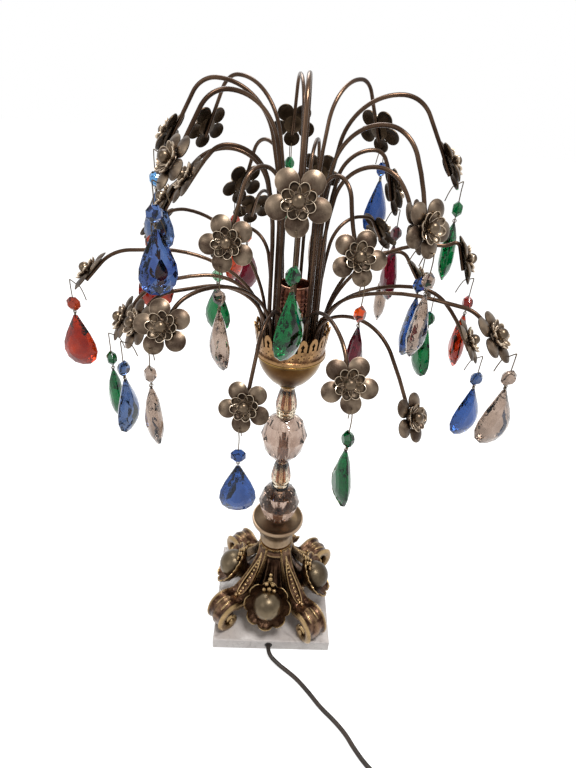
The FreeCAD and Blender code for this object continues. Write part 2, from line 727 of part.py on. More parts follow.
def glass_neck(label, bottom, height):
    """A glass neck: rounded rings at the foot, flat panels up to a narrow collar."""
    base, tall = number(bottom), number(height)
    belly, top = sizes.glass_neck_belly, sizes.glass_neck_top
    levels = [
        (belly * 0.80, base, 0),
        (belly * 0.84, base + tall * 0.06, 0),
        (belly * 0.74, base + tall * 0.10, 0),
        (belly * 0.90, base + tall * 0.17, 0),
        (belly * 0.78, base + tall * 0.23, 0),
        (belly * 0.96, base + tall * 0.28, 0),
        (belly * 1.00, base + tall * 0.42, 0),
        (top * 0.98, base + tall * 0.88, 0),
        (top * 1.06, base + tall * 0.92, 0),
        (top, base + tall, 0),
    ]
    return feature(label, bored(turned_facets(levels, 8), sizes.pipe_radius + sizes.running_gap))


def hex_nut(label, bottom):
    """A hexagon nut on the pipe."""
    nut = primitive("Part::Prism", label + "_block", Circumradius="nut_across / 2 / cos(30)", Height="nut_height",
                    Placement__Base__z=bottom)
    hole = primitive("Part::Cylinder", label + "_hole", Radius="pipe_radius + running_gap / 4",
                     Height="nut_height * 3", Placement__Base__z=f"{bottom} - nut_height")
    return cut(label, nut, hole)


def make_fasteners():
    ceiling = "felt_height + recess_depth"
    disc = primitive("Part::Cylinder", "washer_disc", Radius="washer_radius", Height="washer_height",
                     Placement__Base__z=f"{ceiling} - washer_height")
    hole = primitive("Part::Cylinder", "washer_hole", Radius="pipe_radius + running_gap", Height="recess_depth",
                     Placement__Base__z="felt_height")
    cut("bottom_washer", disc, hole)
    hex_nut("bottom_nut", f"{ceiling} - washer_height - nut_height")
    hex_nut("arm_plate_nut", PLATE_TOP)


# Cup, gallery and arm plate


def make_cup():
    return turned("brass_cup", [
        ("pipe_radius + running_gap", CUP_BOTTOM),
        ("cup_bottom_radius", CUP_BOTTOM),
        ("cup_radius * 0.86", f"{CUP_BOTTOM} + 0.42 * cup_height", "-cup_radius * 1.6"),
        ("cup_radius", f"{CUP_BOTTOM} + 0.72 * cup_height", "-cup_radius"),
        ("cup_radius", f"{LEDGE_TOP} - ledge_height"),
        ("ledge_radius", f"{LEDGE_TOP} - ledge_height"),
        ("ledge_radius", LEDGE_TOP),
        ("cup_radius", LEDGE_TOP),
        ("cup_radius", CUP_RIM),
        ("cup_radius - cup_wall", CUP_RIM),
        ("cup_radius - cup_wall", f"{CUP_BOTTOM} + 0.72 * cup_height"),
        ("cup_radius * 0.86 - cup_wall", f"{CUP_BOTTOM} + 0.42 * cup_height + cup_wall"),
        ("cup_radius * 0.58", f"{CUP_BOTTOM} + 0.18 * cup_height + cup_wall"),
        ("cup_bottom_radius", f"{CUP_BOTTOM} + 2.5 * cup_wall"),
        ("pipe_radius + running_gap", f"{CUP_BOTTOM} + 2.5 * cup_wall"),
    ])


def radial_punch(outline, bottom, azimuth):
    """A punch that passes through the gallery's wall: outline holds (aside, height share) points."""
    near = sizes.cup_radius - 5
    points = [Vector(near, aside, bottom + share * sizes.gallery_height) for aside, share in outline]
    punch = Part.Face(Part.makePolygon(points + points[:1])).extrude(Vector(sizes.gallery_top_radius, 0, 0))
    punch.rotate(Vector(), UP, azimuth)
    return punch


def make_gallery():
    """The pierced gallery: a flared band on the cup's ledge, cut into lobes, with a keyhole in each."""
    inner = "cup_radius + running_gap"
    top = f"{LEDGE_TOP} + gallery_height"
    band = turned("gallery_band", [
        (inner, LEDGE_TOP),
        ("ledge_radius - running_gap", LEDGE_TOP),
        ("ledge_radius - running_gap", f"{LEDGE_TOP} + ledge_drop"),
        (f"{inner} + gallery_wall", f"{LEDGE_TOP} + ledge_drop * 1.3"),
        ("gallery_top_radius", top),
        ("gallery_top_radius - gallery_wall", top),
        (inner, f"{LEDGE_TOP} + ledge_drop * 1.3"),
    ])
    doc.recompute()
    count = int(sizes.gallery_lobes)
    step = 360 / count
    half = sizes.gallery_top_radius * math.tan(math.pi / count)
    slot, eye, bead = half * 0.2, half * 0.34, half * 0.17
    gap = [(-slot, 0.5), (slot, 0.5), (slot, 0.8), (half * 0.5, 0.94), (half * 0.88, 1.0), (half * 0.88, 1.1),
           (-half * 0.88, 1.1), (-half * 0.88, 1.0), (-half * 0.5, 0.94), (-slot, 0.8)]
    keyhole = [(-eye * 0.8, 0.55), (eye * 0.8, 0.55), (eye * 0.4, 0.66), (eye, 0.74), (0, 0.84), (-eye, 0.74),
               (-eye * 0.4, 0.66)]
    punches = []
    for lobe in range(count):
        punches.append(radial_punch(gap, number(LEDGE_TOP), step * (lobe + 0.5)))
        punches.append(radial_punch(keyhole, number(LEDGE_TOP), step * lobe))
        for turn, share in ((0, 0.40), (-step / 4, 0.30), (step / 4, 0.30), (0, 0.20)):
            reach = bead / sizes.gallery_height
            diamond = [(-bead, share), (0, share - reach), (bead, share), (0, share + reach)]
            punches.append(radial_punch(diamond, number(LEDGE_TOP), step * lobe + turn))
    return feature("pierced_gallery", band.Shape.cut(punches))


def make_arm_plate():
    disc = primitive("Part::Cylinder", "arm_plate_disc", Radius="cup_radius", Height="plate_height",
                     Placement__Base__z=CUP_RIM)
    hole = primitive("Part::Cylinder", "arm_plate_hole", Radius="pipe_radius + running_gap",
                     Height="plate_height * 3", Placement__Base__z=f"{CUP_RIM} - plate_height")
    return cut("arm_plate", disc, hole)


# Arms


def arc_points(start, heading, end, step=19.0):
    """Points after start along the arc that leaves along heading and ends at end."""
    middle = arc_middle(start, heading, end)
    if middle is None:
        return [end]
    arc = Part.Arc(start, middle, end).toShape()
    turn = math.degrees(heading.getAngle(end - start)) * 2
    pieces = max(1, round(turn / step))
    return arc.discretize(Number=pieces + 1)[1:]


class ArmFrame(NamedTuple):
    """A place at an arm's end with its outward, downward and side directions."""

    centre: Vector
    outward: Vector
    down: Vector
    side: Vector


def rod_frame(arm):
    """The frame of an arm's end in the arm's own plane; its centre is on the rod's axis."""
    lean = math.radians(arm.lean)
    outward = at_azimuth(math.cos(lean), math.sin(lean), arm.azimuth)
    down = at_azimuth(math.sin(lean), -math.cos(lean), arm.azimuth)
    ball = at_azimuth(arm.ball_reach, arm.ball_height, arm.azimuth)
    depth = sizes.seed_height + sizes.sheet_gauge + sizes.rod_across / 2
    return ArmFrame(ball - outward * depth, outward, down, outward.cross(down))


def arm_frame(arm):
    """The frame of the flower, turned about the rod's end with its plate against the rod."""
    rod = rod_frame(arm)
    turn = math.radians(arm.turn)
    outward = rod.outward * math.cos(turn) + rod.side * math.sin(turn)
    corner = sizes.rod_across / 2 * (math.cos(turn) + abs(math.sin(turn)))
    return ArmFrame(rod.centre + outward * (corner + sizes.sheet_gauge), outward, rod.down,
                    outward.cross(rod.down))


def arm_points(arm):
    """The corners of an arm's centre line, from the plate to the cut end below its flower."""
    frame = rod_frame(arm)
    reach = FOOT_REACH[arm.tier]
    base = number(PLATE_TOP)
    foot = at_azimuth(reach, base, arm.azimuth)
    bend = sizes.rod_spread * (arm.peak_reach - reach)
    knee = at_azimuth(reach, max(base + sizes.rod_rise, arm.peak_height - bend), arm.azimuth)
    peak = at_azimuth(arm.peak_reach, arm.peak_height, arm.azimuth)
    tail = frame.centre - frame.down * sizes.tail_before
    end = frame.centre + frame.down * sizes.tail_after
    ahead = at_azimuth(1, 0, arm.azimuth)
    points = [foot, knee]
    for start, heading, finish, last_heading in ((knee, UP, peak, ahead), (peak, ahead, tail, frame.down)):
        joint = biarc(start, heading, finish, last_heading)
        points += arc_points(start, heading, joint)
        back = arc_points(finish, last_heading * -1, joint)
        points += back[::-1][1:] + [finish]
    return points + [end]


def make_arms():
    """Three tiers of arms; every arm is its own solid, standing on the arm plate."""
    for tier in FOOT_REACH:
        rods = [mitred_wire(arm_points(arm), sizes.rod_across, rod_frame(arm).side)
                for arm in ARMS if arm.tier == tier]
        feature(tier + "_arms", Part.makeCompound(rods))


# Flowers


def in_frame(frame, aside, drop, out):
    """A point given beside, below and in front of a flower's centre."""
    return frame.centre + frame.side * aside + frame.down * drop + frame.outward * out


def sheet_solid(front, loops, frame):
    """A pressed sheet: the front's loops, the same behind by the gauge, and its rim.

    front holds (aside, drop, out) points; loops are index lists that cover the front, anticlockwise.
    """
    back = [(aside, drop, out - sizes.sheet_gauge) for aside, drop, out in front]
    ahead = [in_frame(frame, *point) for point in front]
    behind = [in_frame(frame, *point) for point in back]
    edges = {(loop[here], loop[(here + 1) % len(loop)]) for loop in loops for here in range(len(loop))}
    faces = [[ahead[index] for index in loop] for loop in loops]
    faces += [[behind[index] for index in reversed(loop)] for loop in loops]
    for start, end in sorted(edge for edge in edges if edge[::-1] not in edges):
        faces.append([ahead[end], ahead[start], behind[start], behind[end]])
    return solid_of(faces)


def polar(radius, angle, out):
    """A front point at a radius and an angle from straight down, in degrees."""
    turn = math.radians(angle)
    return (radius * math.sin(turn), radius * math.cos(turn), out)


def outer_petals(frame):
    """Five round domed petals round a flat middle, with the hook's hole in the lowest."""
    petals = 5
    ring, radius, rise = sizes.petal_ring, sizes.petal_radius, sizes.petal_rise
    spread = (-105, -35, 35, 105)
    front = [(0, 0, 0)]
    loops = []
    valleys = [polar(ring - radius * 0.8, 360 / petals * (step - 0.5), 0) for step in range(petals)]
    front += valleys
    for step in range(petals):
        heading = 360 / petals * step
        centre = polar(ring, heading, rise)
        first = len(front)
        front.append(centre)
        for angle in spread:
            tip = polar(radius, heading + angle, 0)
            front.append((centre[0] + tip[0], centre[1] + tip[1], 0))
        left, right = 1 + step, 1 + (step + 1) % petals
        rim = [left] + [first + 1 + index for index in range(len(spread))] + [right]
        loops.append([0, left, right])
        loops.append([first, right, left])
        loops += [[first, rim[index], rim[index + 1]] for index in range(len(rim) - 1)]
    sheet = sheet_solid(front, loops, frame)
    across = (sizes.hook_wire / 2 + sizes.hook_gap) / math.cos(math.pi / 8)
    corners = [polar(across, 360 / 8 * (step + 0.5), -3) for step in range(8)]
    hole = Part.Face(Part.makePolygon([in_frame(frame, aside, drop + sizes.drop_hole, out)
                                       for aside, drop, out in corners + corners[:1]]))
    return sheet.cut(hole.extrude(frame.outward * 9))


def inner_petals(frame):
    """Eight small petals that stand up round the ball."""
    petals = 8
    gauge = sizes.sheet_gauge
    hub, reach, rise = sizes.crown_radius * 0.5, sizes.crown_radius, sizes.crown_rise + gauge
    front = [polar(hub, 360 / petals * (step - 0.5), gauge) for step in range(petals)]
    front += [polar(reach, 360 / petals * step, rise) for step in range(petals)]
    loops = [list(range(petals))]
    loops += [[step, petals + step, (step + 1) % petals] for step in range(petals)]
    return sheet_solid(front, loops, frame)


def seed_ball(frame):
    """The ball in the middle, flat where it sits on the inner petals."""
    radius, middle, seat = sizes.seed_radius, sizes.seed_height, sizes.sheet_gauge
    sides = 6
    rings = []
    for out in (seat, middle - radius * 0.25, middle + radius * 0.55):
        across = math.sqrt(radius ** 2 - (out - middle) ** 2) if out > seat else radius * 0.6
        rings.append([in_frame(frame, *polar(across, 360 / sides * step, out)) for step in range(sides)])
    tip = in_frame(frame, 0, 0, middle + radius)
    loops = [rings[0][::-1]] + ring_bands(rings)
    loops += [[rings[-1][here], rings[-1][(here + 1) % sides], tip] for here in range(sides)]
    return solid_of(loops)


def make_flowers():
    """Every flower's outer petals, inner petals and ball, each kind as separate solids in one node."""
    frames = [arm_frame(arm) for arm in ARMS]
    feature("outer_petals", Part.makeCompound([outer_petals(frame) for frame in frames]))
    feature("inner_petals", Part.makeCompound([inner_petals(frame) for frame in frames]))
    feature("flower_balls", Part.makeCompound([seed_ball(frame) for frame in frames]))


# Drops


class DropFrame(NamedTuple):
    """Where a drop hangs: its pin's middle, pin direction, level side direction and top of the front leg."""

    hinge: Vector
    axis: Vector
    side: Vector
    leg_top: Vector


def drop_frame(arm):
    """The frame of the drop under an arm's flower."""
    frame = arm_frame(arm)
    lean = math.radians(arm.lean)
    beyond = sizes.petal_ring + sizes.petal_radius - sizes.drop_hole
    clear = beyond * math.sin(lean) + sizes.petal_rise * math.cos(lean) + sizes.hook_wire + 2 * sizes.hook_gap
    hinge = in_frame(frame, 0, sizes.drop_hole, 0)
    across = UP.cross(frame.outward).normalize()
    return DropFrame(hinge, frame.outward, across, hinge + frame.outward * (clear / math.cos(lean)))


def hook_solid(arm, frame, bead_top):
    """A bent wire: tail behind, a round pin through the petal, a leg down to the bead."""
    wire = sizes.hook_wire
    back = frame.hinge - frame.axis * 2.6
    tail = back + (frame.axis * -0.5 - UP).normalize() * sizes.hook_tail
    points = [tail, back, frame.leg_top, Vector(frame.leg_top.x, frame.leg_top.y, bead_top - wire)]
    bent = mitred_wire(points, wire, frame.side, 4)
    pin = Part.makeCylinder(wire / 2 * 1.1, sizes.petal_rise + wire, frame.hinge - frame.axis * 0.6, frame.axis)
    return bent.fuse(pin)


def faceted_stone(centre, across, along, outline, girdle, table):
    """A stone with a flat table on both sides: outline is the girdle's (aside, up) points."""
    rim = [centre + across * aside + UP * up for aside, up in outline]
    loops = []
    for side in (1, -1):
        face = [centre + across * (aside * table) + UP * (up * table) + along * (side * girdle)
                for aside, up in outline]
        loops.append(face if side > 0 else face[::-1])
        for here in range(len(rim)):
            after = (here + 1) % len(rim)
            loops.append([rim[here], rim[after], face[after], face[here]][::side])
    return solid_of(loops)


def bead_solid(top, across, along):
    """The octagon bead, hanging below top."""
    reach = sizes.bead_across / 2
    outline = [(reach / math.cos(math.pi / 8) * math.cos(turn), reach / math.cos(math.pi / 8) * math.sin(turn))
               for turn in [math.pi / 8 * (2 * step + 1) for step in range(8)]]
    return faceted_stone(top - UP * reach, across, along, outline, sizes.bead_thickness / 2, 0.55)


def prism_solid(top, across, along):
    """The pear prism: pointed top, widest well below its middle, rounded bottom."""
    tall, half = sizes.prism_height, sizes.prism_width / 2
    right = [(0.10, 1.0), (0.52, 0.74), (0.92, 0.45), (0.98, 0.28), (0.72, 0.09)]
    outline = [(half * aside, tall * up) for aside, up in right] + [(0, 0)]
    outline += [(-half * aside, tall * up) for aside, up in reversed(right)]
    middle = tall * 0.42
    centred = [(aside, up - middle) for aside, up in outline][::-1]
    return faceted_stone(top - UP * (tall - middle), across, along, centred, sizes.prism_thickness / 2, 0.6)


def drop_solids(arm):
    """Hook, bead, connector and prism of one drop, as separate solids."""
    frame = drop_frame(arm)
    turn = math.radians(arm.azimuth + arm.twist)
    along = Vector(math.cos(turn), math.sin(turn), 0)
    across = Vector(-math.sin(turn), math.cos(turn), 0)
    bead_top = frame.leg_top.z - arm.hook_length
    top = Vector(frame.leg_top.x, frame.leg_top.y, bead_top)
    hook = hook_solid(arm, frame, bead_top)
    link_top = top - UP * (sizes.bead_across - sizes.hook_wire)
    prism_top = top - UP * (sizes.bead_across + sizes.link_length)
    link_end = prism_top - UP * (2 * sizes.hook_wire)
    link = mitred_wire([link_top, link_end], sizes.hook_wire * 1.4, frame.side, 4)
    bead = bead_solid(top, across, along).cut(hook).cut(link)
    prism = prism_solid(prism_top, across, along).cut(link)
    return [hook, bead, link, prism]


def drop_arms():
    """The arms that carry a drop."""
    return [arm for arm in ARMS if arm.hook_length]


def make_drops():
    for arm in drop_arms():
        feature("drop_" + arm.name, Part.makeCompound(drop_solids(arm)))


# Socket and wiring


def make_socket():
    bore = "pipe_radius + running_gap / 4"
    turned("socket_cap", [
        (bore, NUT_TOP),
        ("pipe_radius + 2 * shell_wall", NUT_TOP),
        ("socket_cap_radius * 0.85", f"{NUT_TOP} + 0.2 * socket_cap_height"),
        ("socket_cap_radius", f"{NUT_TOP} + 0.5 * socket_cap_height"),
        ("socket_cap_radius", CAP_TOP),
        ("socket_cap_radius - 2 * shell_wall", CAP_TOP),
        ("socket_cap_radius - 2 * shell_wall", f"{NUT_TOP} + 0.6 * socket_cap_height"),
        (bore, f"{NUT_TOP} + 0.35 * socket_cap_height"),
    ])
    outside = "shell_bore + shell_wall"
    turned("socket_insulator", [
        ("pipe_bore", CAP_TOP),
        (f"{outside} + 2 * shell_wall", CAP_TOP),
        (f"{outside} + 2 * shell_wall", f"{INSULATOR_TOP} - 2 * shell_wall"),
        (outside, INSULATOR_TOP),
        ("contact_radius + running_gap / 4", INSULATOR_TOP),
        ("contact_radius + running_gap / 4", CONTACT_FOOT),
        ("contact_radius - running_gap", CONTACT_FOOT),
        ("contact_radius - running_gap", f"{CAP_TOP} + 0.5 * insulator_height"),
        ("pipe_bore", f"{CAP_TOP} + 0.4 * insulator_height"),
    ])
    thread = "shell_wall * 1.4"
    corners = [("shell_bore * 0.6", INSULATOR_TOP), (outside, INSULATOR_TOP)]
    ridges = 3
    for ridge in range(ridges):
        level = f"{INSULATOR_TOP} + shell_height * {0.3 + 0.16 * ridge:.2f}"
        corners += [(outside, level), (f"{outside} + {thread}", f"{level} + shell_height * 0.065")]
    corners += [(outside, f"{INSULATOR_TOP} + shell_height * 0.85"),
                (outside, f"{INSULATOR_TOP} + shell_height - {thread}"),
                (f"{outside} + shell_wall", f"{INSULATOR_TOP} + shell_height"),
                ("shell_bore", f"{INSULATOR_TOP} + shell_height"),
                ("shell_bore", f"{INSULATOR_TOP} + shell_wall"),
                ("shell_bore * 0.6", f"{INSULATOR_TOP} + shell_wall")]
    turned("socket_shell", corners)
    contact = primitive("Part::Cone", "contact_cone", Radius1="contact_radius", Radius2="contact_radius / 2",
                        Height="contact_height", Placement__Base__z=CONTACT_FOOT)
    contact.Label = "socket_contact"


def make_supply_wires():
    """Two wires from the cord's end, under the nut and up the pipe to the insulator."""
    wires = []
    low = sizes.felt_height + sizes.wire_across / 2 + 0.8
    start = -sizes.recess_radius - 1
    for side in (-1, 1):
        aside = side * sizes.wire_spacing / 2
        entry = aside - sizes.cord_exit_aside
        points = [Vector(entry, start, sizes.cord_exit_height), Vector(entry, start + 7, sizes.cord_exit_height),
                  Vector(aside, start + 14, low), Vector(aside, 0, low), Vector(aside, 0, number(CAP_TOP))]
        edges, _ = rounded_edges(points, 0.3)
        wires.append(tube_along(edges, sizes.wire_across))
    shape = Part.makeCompound(wires)
    shape.rotate(Vector(), UP, sizes.plinth_turn)
    return feature("supply_wires", shape)


# Cord


def front_face(depth, height):
    """A point on the cord bore's line, at a depth behind the plinth's front."""
    place = Vector(-sizes.cord_exit_aside, -sizes.plinth_side / 2 + depth, height)
    return FreeCAD.Rotation(UP, sizes.plinth_turn).multVec(place)


def make_bushing():
    """A short sleeve in the plinth's bore, with a flange against the front face."""
    bore = number("cord_across / 2 / cos(30) + running_gap / 4")
    centre = front_face(0, sizes.cord_exit_height)
    inward = FreeCAD.Rotation(UP, sizes.plinth_turn).multVec(Vector(0, 1, 0))
    tube = Part.makeCylinder(bore + sizes.bushing_wall - 0.05, sizes.bushing_length, centre, inward)
    flange = Part.makeCone(bore + sizes.bushing_wall + sizes.bushing_flange, bore + sizes.bushing_wall,
                           sizes.bushing_flange, centre, inward * -1)
    hole = Part.makeCylinder(bore, sizes.bushing_length * 2, centre - inward * sizes.bushing_length, inward)
    return feature("cord_bushing", tube.fuse(flange).cut(hole))


# The cord's way over the table, from the plinth's bore to the switch, chosen by hand.
CORD_ROUTE = [
    (14, -90, 4.2),
    (26, -97, 2.6),
    (36.5, -104.5, 2.5),
    (51, -119, 2.5),
    (63, -133, 2.5),
    (78, -145.5, 2.5),
    (90, -158, 2.5),
    (98, -171, 2.5),
    (110, -186, 2.5),
    (125, -198, 3.2),
    (141, -204, 5.6),
]
SWITCH_START = Vector(160, -204, 7.0)


def make_cord():
    inner = front_face(sizes.plinth_side / 2 - sizes.recess_radius - 1, sizes.cord_exit_height)
    outside = front_face(-11, sizes.cord_exit_height)
    points = [inner, outside] + [Vector(*point) for point in CORD_ROUTE]
    points += [SWITCH_START - Vector(8, 0, 0), SWITCH_START]
    edges, radii = rounded_edges(points)
    print("cord radii", [round(radius, 1) for radius in radii])
    tube = tube_along(edges, sizes.cord_across)
    length = sum(edge.Length for edge in edges)
    area = 6 * math.tan(math.pi / 6) * (sizes.cord_across / 2) ** 2
    print("cord length", round(length, 1), "volume over section times length", round(tube.Volume / length / area, 4))
    return feature("lamp_cord", tube)


def make_switch():
    """The cord's switch: a rounded housing with a slot, and a rocker on its pin."""
    long, wide, tall = sizes.switch_length, sizes.switch_width, sizes.switch_height
    corner = SWITCH_START - Vector(0, wide / 2, SWITCH_START.z)
    block = Part.makeBox(long, wide, tall, corner)
    upright = [edge for edge in block.Edges if edge.BoundBox.ZLength > tall - 0.1]
    block = block.makeFillet(wide * 0.3, upright)
    top = [edge for edge in block.Edges if edge.BoundBox.ZMin > corner.z + tall - 0.01]
    block = block.makeFillet(tall * 0.15, top)
    middle = corner + Vector(long / 2, wide / 2, tall * 0.62)
    gap = sizes.running_gap
    slot = Part.makeBox(sizes.rocker_length + 2 * gap, sizes.rocker_width + 2 * gap, tall,
                        middle - Vector(sizes.rocker_length / 2 + gap, sizes.rocker_width / 2 + gap, tall * 0.42))
    ears = sizes.rocker_width + 5
    seat = Part.makeCylinder(sizes.rocker_pin + sizes.pin_gap, ears, middle - Vector(0, ears / 2, 0), Vector(0, 1, 0))
    feature("switch_housing", block.cut(slot).cut(seat))
    half = sizes.rocker_length / 2
    crown = tall * 0.38 + 1.2
    outline = [Vector(-half + 1.6, 0, -1.2), Vector(0, 0, -2.6), Vector(half - 1.6, 0, -1.2),
               Vector(half - 1, 0, crown + 1.0), Vector(0, 0, crown - 1.0), Vector(1 - half, 0, crown + 1.0)]
    face = Part.Face(Part.makePolygon(outline + outline[:1]))
    face.translate(middle - Vector(0, sizes.rocker_width / 2, 0))
    paddle = face.extrude(Vector(0, sizes.rocker_width, 0))
    pin_long = ears - 0.6
    pin = Part.makeCylinder(sizes.rocker_pin, pin_long, middle - Vector(0, pin_long / 2, 0), Vector(0, 1, 0))
    rocker = paddle.fuse(pin).removeSplitter()
    rocker.rotate(middle, Vector(0, 1, 0), sizes.rocker_tilt)
    return feature("switch_rocker", rocker)


def coil_place(turns):
    """Point and heading on the put-away cord after a number of turns, round the coil's centre."""
    total = sizes.coil_turns
    outer, pitch = sizes.coil_radius, sizes.coil_pitch
    ground = sizes.cord_across / 2
    inner = outer - pitch * total
    if turns <= total:
        radius, height = outer - pitch * turns, ground
        widening, climbing = -pitch, 0.0
    elif turns <= total + 0.5:
        past = turns - total
        radius = inner - pitch * past * (1 - 2 * past)
        height = ground + pitch * (12 * past ** 2 - 16 * past ** 3)
        widening, climbing = pitch * (4 * past - 1), pitch * (24 * past - 48 * past ** 2)
    else:
        radius, height = inner + pitch * (turns - total - 0.5), ground + pitch
        widening, climbing = pitch, 0.0
    angle = math.pi / 2 - 2 * math.pi * turns
    ray = Vector(math.cos(angle), math.sin(angle), 0)
    round_way = Vector(math.sin(angle), -math.cos(angle), 0)
    heading = round_way * (2 * math.pi * radius) + ray * widening + UP * climbing
    return ray * radius + UP * height, heading.normalize()


def make_coil():
    """The unseen length, put away: two layers of loops, led in from the switch and out to the plug."""
    ahead = Vector(1, 0, 0)
    switch_end = SWITCH_START + ahead * sizes.switch_length
    lead = 44.0
    centre = Vector(switch_end.x + lead, SWITCH_START.y - sizes.coil_radius, 0)
    quarter = 0.25
    last = 2 * sizes.coil_turns + 0.5
    count = round(last / quarter)
    stations = [(switch_end, ahead), (switch_end + ahead * 8, ahead)]
    for step in range(count + 1):
        place, heading = coil_place(step * quarter)
        stations.append((centre + place, ahead if step == 0 else heading))
    place, heading = stations[-1]
    flat = Vector(heading.x, heading.y, 0).normalize()
    stations[-1] = (place, flat)
    plug_height = sizes.plug_height / 2
    tail = place + flat * 34
    tail.z = plug_height
    stations += [(tail, flat), (tail + flat * 8, flat)]
    edges = biarc_edges(stations)
    tube = tube_along(edges, sizes.cord_across)
    length = sum(edge.Length for edge in edges)
    area = 6 * math.tan(math.pi / 6) * (sizes.cord_across / 2) ** 2
    print("coil length", round(length, 1), "volume over section times length", round(tube.Volume / length / area, 4))
    print("coil's least gap to itself", round(least_gap(edges) - sizes.cord_across, 2))
    feature("cord_coil", tube)
    return stations[-1]


def least_gap(edges):
    """The least distance between two places on the path that lie well apart along it."""
    points = []
    for edge in edges:
        points += edge.discretize(Distance=2.0)[:-1]
    apart = 16
    least = 1e9
    for here, point in enumerate(points):
        for other in points[here + apart:]:
            least = min(least, point.distanceToPoint(other))
    return least


def make_plug(end, heading):
    """The plug body at the cord's end, and its two blades."""
    aside = UP.cross(heading)
    half = sizes.plug_width / 2
    outline = [end + aside * (half * 0.45), end + aside * half + heading * (sizes.plug_length * 0.45),
               end + aside * half + heading * sizes.plug_length, end - aside * half + heading * sizes.plug_length,
               end - aside * half + heading * (sizes.plug_length * 0.45), end - aside * (half * 0.45)]
    outline = [Vector(point.x, point.y, end.z - sizes.plug_height / 2) for point in outline]
    body = Part.Face(Part.makePolygon(outline + outline[:1])).extrude(UP * sizes.plug_height)
    rims = [edge for edge in body.Edges if edge.BoundBox.ZLength < 0.01]
    feature("plug_body", body.makeFillet(sizes.plug_height * 0.2, rims))
    blades = []
    for side in (-1, 1):
        start = end + heading * sizes.plug_length + aside * (side * sizes.blade_spacing / 2)
        corner = [start + aside * (across * sizes.blade_gauge / 2) + UP * (up * sizes.blade_width / 2)
                  for across, up in ((-1, -1), (1, -1), (1, 1), (-1, 1))]
        blades.append(Part.Face(Part.makePolygon(corner + corner[:1])).extrude(heading * sizes.blade_length))
    return feature("plug_blades", Part.makeCompound(blades))


# Building and writing

INNER_LABELS = ("_block", "_hole", "_disc", "_bell", "_band")


def make_lamp():
    make_felt()
    make_plinth()
    make_foot()
    make_stem()
    make_fasteners()
    make_cup()
    make_gallery()
    make_arm_plate()
    make_arms()
    make_flowers()
    make_drops()
    make_socket()
    make_supply_wires()
    make_bushing()
    make_cord()
    make_switch()
    make_plug(*make_coil())


def node_objects():
    """The objects that are the lamp's nodes: bodies, cuts and features that no other object uses."""
    kinds = ("PartDesign::Body", "Part::Cut", "Part::Feature", "Part::Cone")
    return [item for item in doc.Objects
            if item.TypeId in kinds and not item.Label.endswith(INNER_LABELS)]


def write_nodes():
    """Check every object, then write one file per node."""
    doc.recompute()
    for item in doc.Objects:
        if "Invalid" in item.State or "Error" in item.State:
            raise RuntimeError(f"{item.Label} failed: {item.State}")
    nodes = node_objects()
    for item in nodes:
        if item.Shape.isNull() or not item.Shape.isValid():
            raise RuntimeError(f"{item.Label} has no valid shape")
    os.makedirs("parts", exist_ok=True)
    for item in nodes:
        item.Shape.exportStep(f"parts/{item.Label}.step")
    print(len(nodes), "nodes written")


make_lamp()
write_nodes()
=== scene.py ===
"""Looks of a prism table lamp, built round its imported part. Lengths are millimetres until a piece is placed."""

import logging
import math
from collections.abc import Callable, Sequence
from dataclasses import dataclass
from enum import Enum
from typing import Any

import bmesh
import bpy
from mathutils import Matrix, Vector


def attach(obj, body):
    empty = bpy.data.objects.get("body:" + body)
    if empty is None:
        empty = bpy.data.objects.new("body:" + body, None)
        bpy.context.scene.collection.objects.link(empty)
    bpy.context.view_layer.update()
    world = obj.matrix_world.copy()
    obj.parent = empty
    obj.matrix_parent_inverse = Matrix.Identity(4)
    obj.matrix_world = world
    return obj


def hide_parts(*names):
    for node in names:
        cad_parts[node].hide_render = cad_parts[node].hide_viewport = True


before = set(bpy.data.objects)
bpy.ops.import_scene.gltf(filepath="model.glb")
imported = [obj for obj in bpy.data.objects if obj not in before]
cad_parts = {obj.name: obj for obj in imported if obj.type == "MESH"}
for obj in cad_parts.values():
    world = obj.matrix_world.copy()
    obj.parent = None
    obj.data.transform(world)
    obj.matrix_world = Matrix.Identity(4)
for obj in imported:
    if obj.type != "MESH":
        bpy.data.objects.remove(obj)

MM = 0.001
UP = Vector((0.0, 0.0, 1.0))
SHADE = "shade"
LOG = logging.getLogger("lamp")
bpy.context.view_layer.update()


# Colours and shader nodes


def paint(code: str, alpha: float = 1.0) -> tuple[float, float, float, float]:
    """Turns a display colour into the linear one that a shader takes.

    Args:
        code: Six hexadecimal digits, red first.
        alpha: The fourth number.

    Returns:
        Red, green, blue and alpha.
    """
    shares = [int(code[at:at + 2], 16) / 255 for at in (0, 2, 4)]
    linear = [share / 12.92 if share <= 0.04045 else ((share + 0.055) / 1.055) ** 2.4 for share in shares]
    return linear[0], linear[1], linear[2], alpha


def emptied(owner: Any) -> bpy.types.NodeTree:
    """Gives the node tree of a new material or world, with nothing in it."""
    owner.use_nodes = True
    owner.node_tree.nodes.clear()
    return owner.node_tree


def shown(name: str, data: Any) -> bpy.types.Object:
    """Makes an object of its data and links it to the scene.

    Args:
        name: The object's name.
        data: Its mesh, curve, camera or light.

    Returns:
        The object.
    """
    thing = bpy.data.objects.new(name, data)
    bpy.context.scene.collection.objects.link(thing)
    return thing


def axes(along: Vector, aside: Vector, out: Vector) -> Matrix:
    """Gives the matrix that turns the three main directions to the given ones."""
    columns = (along, aside, out)
    return Matrix([[column[row] for column in columns] for row in range(3)]).to_4x4()


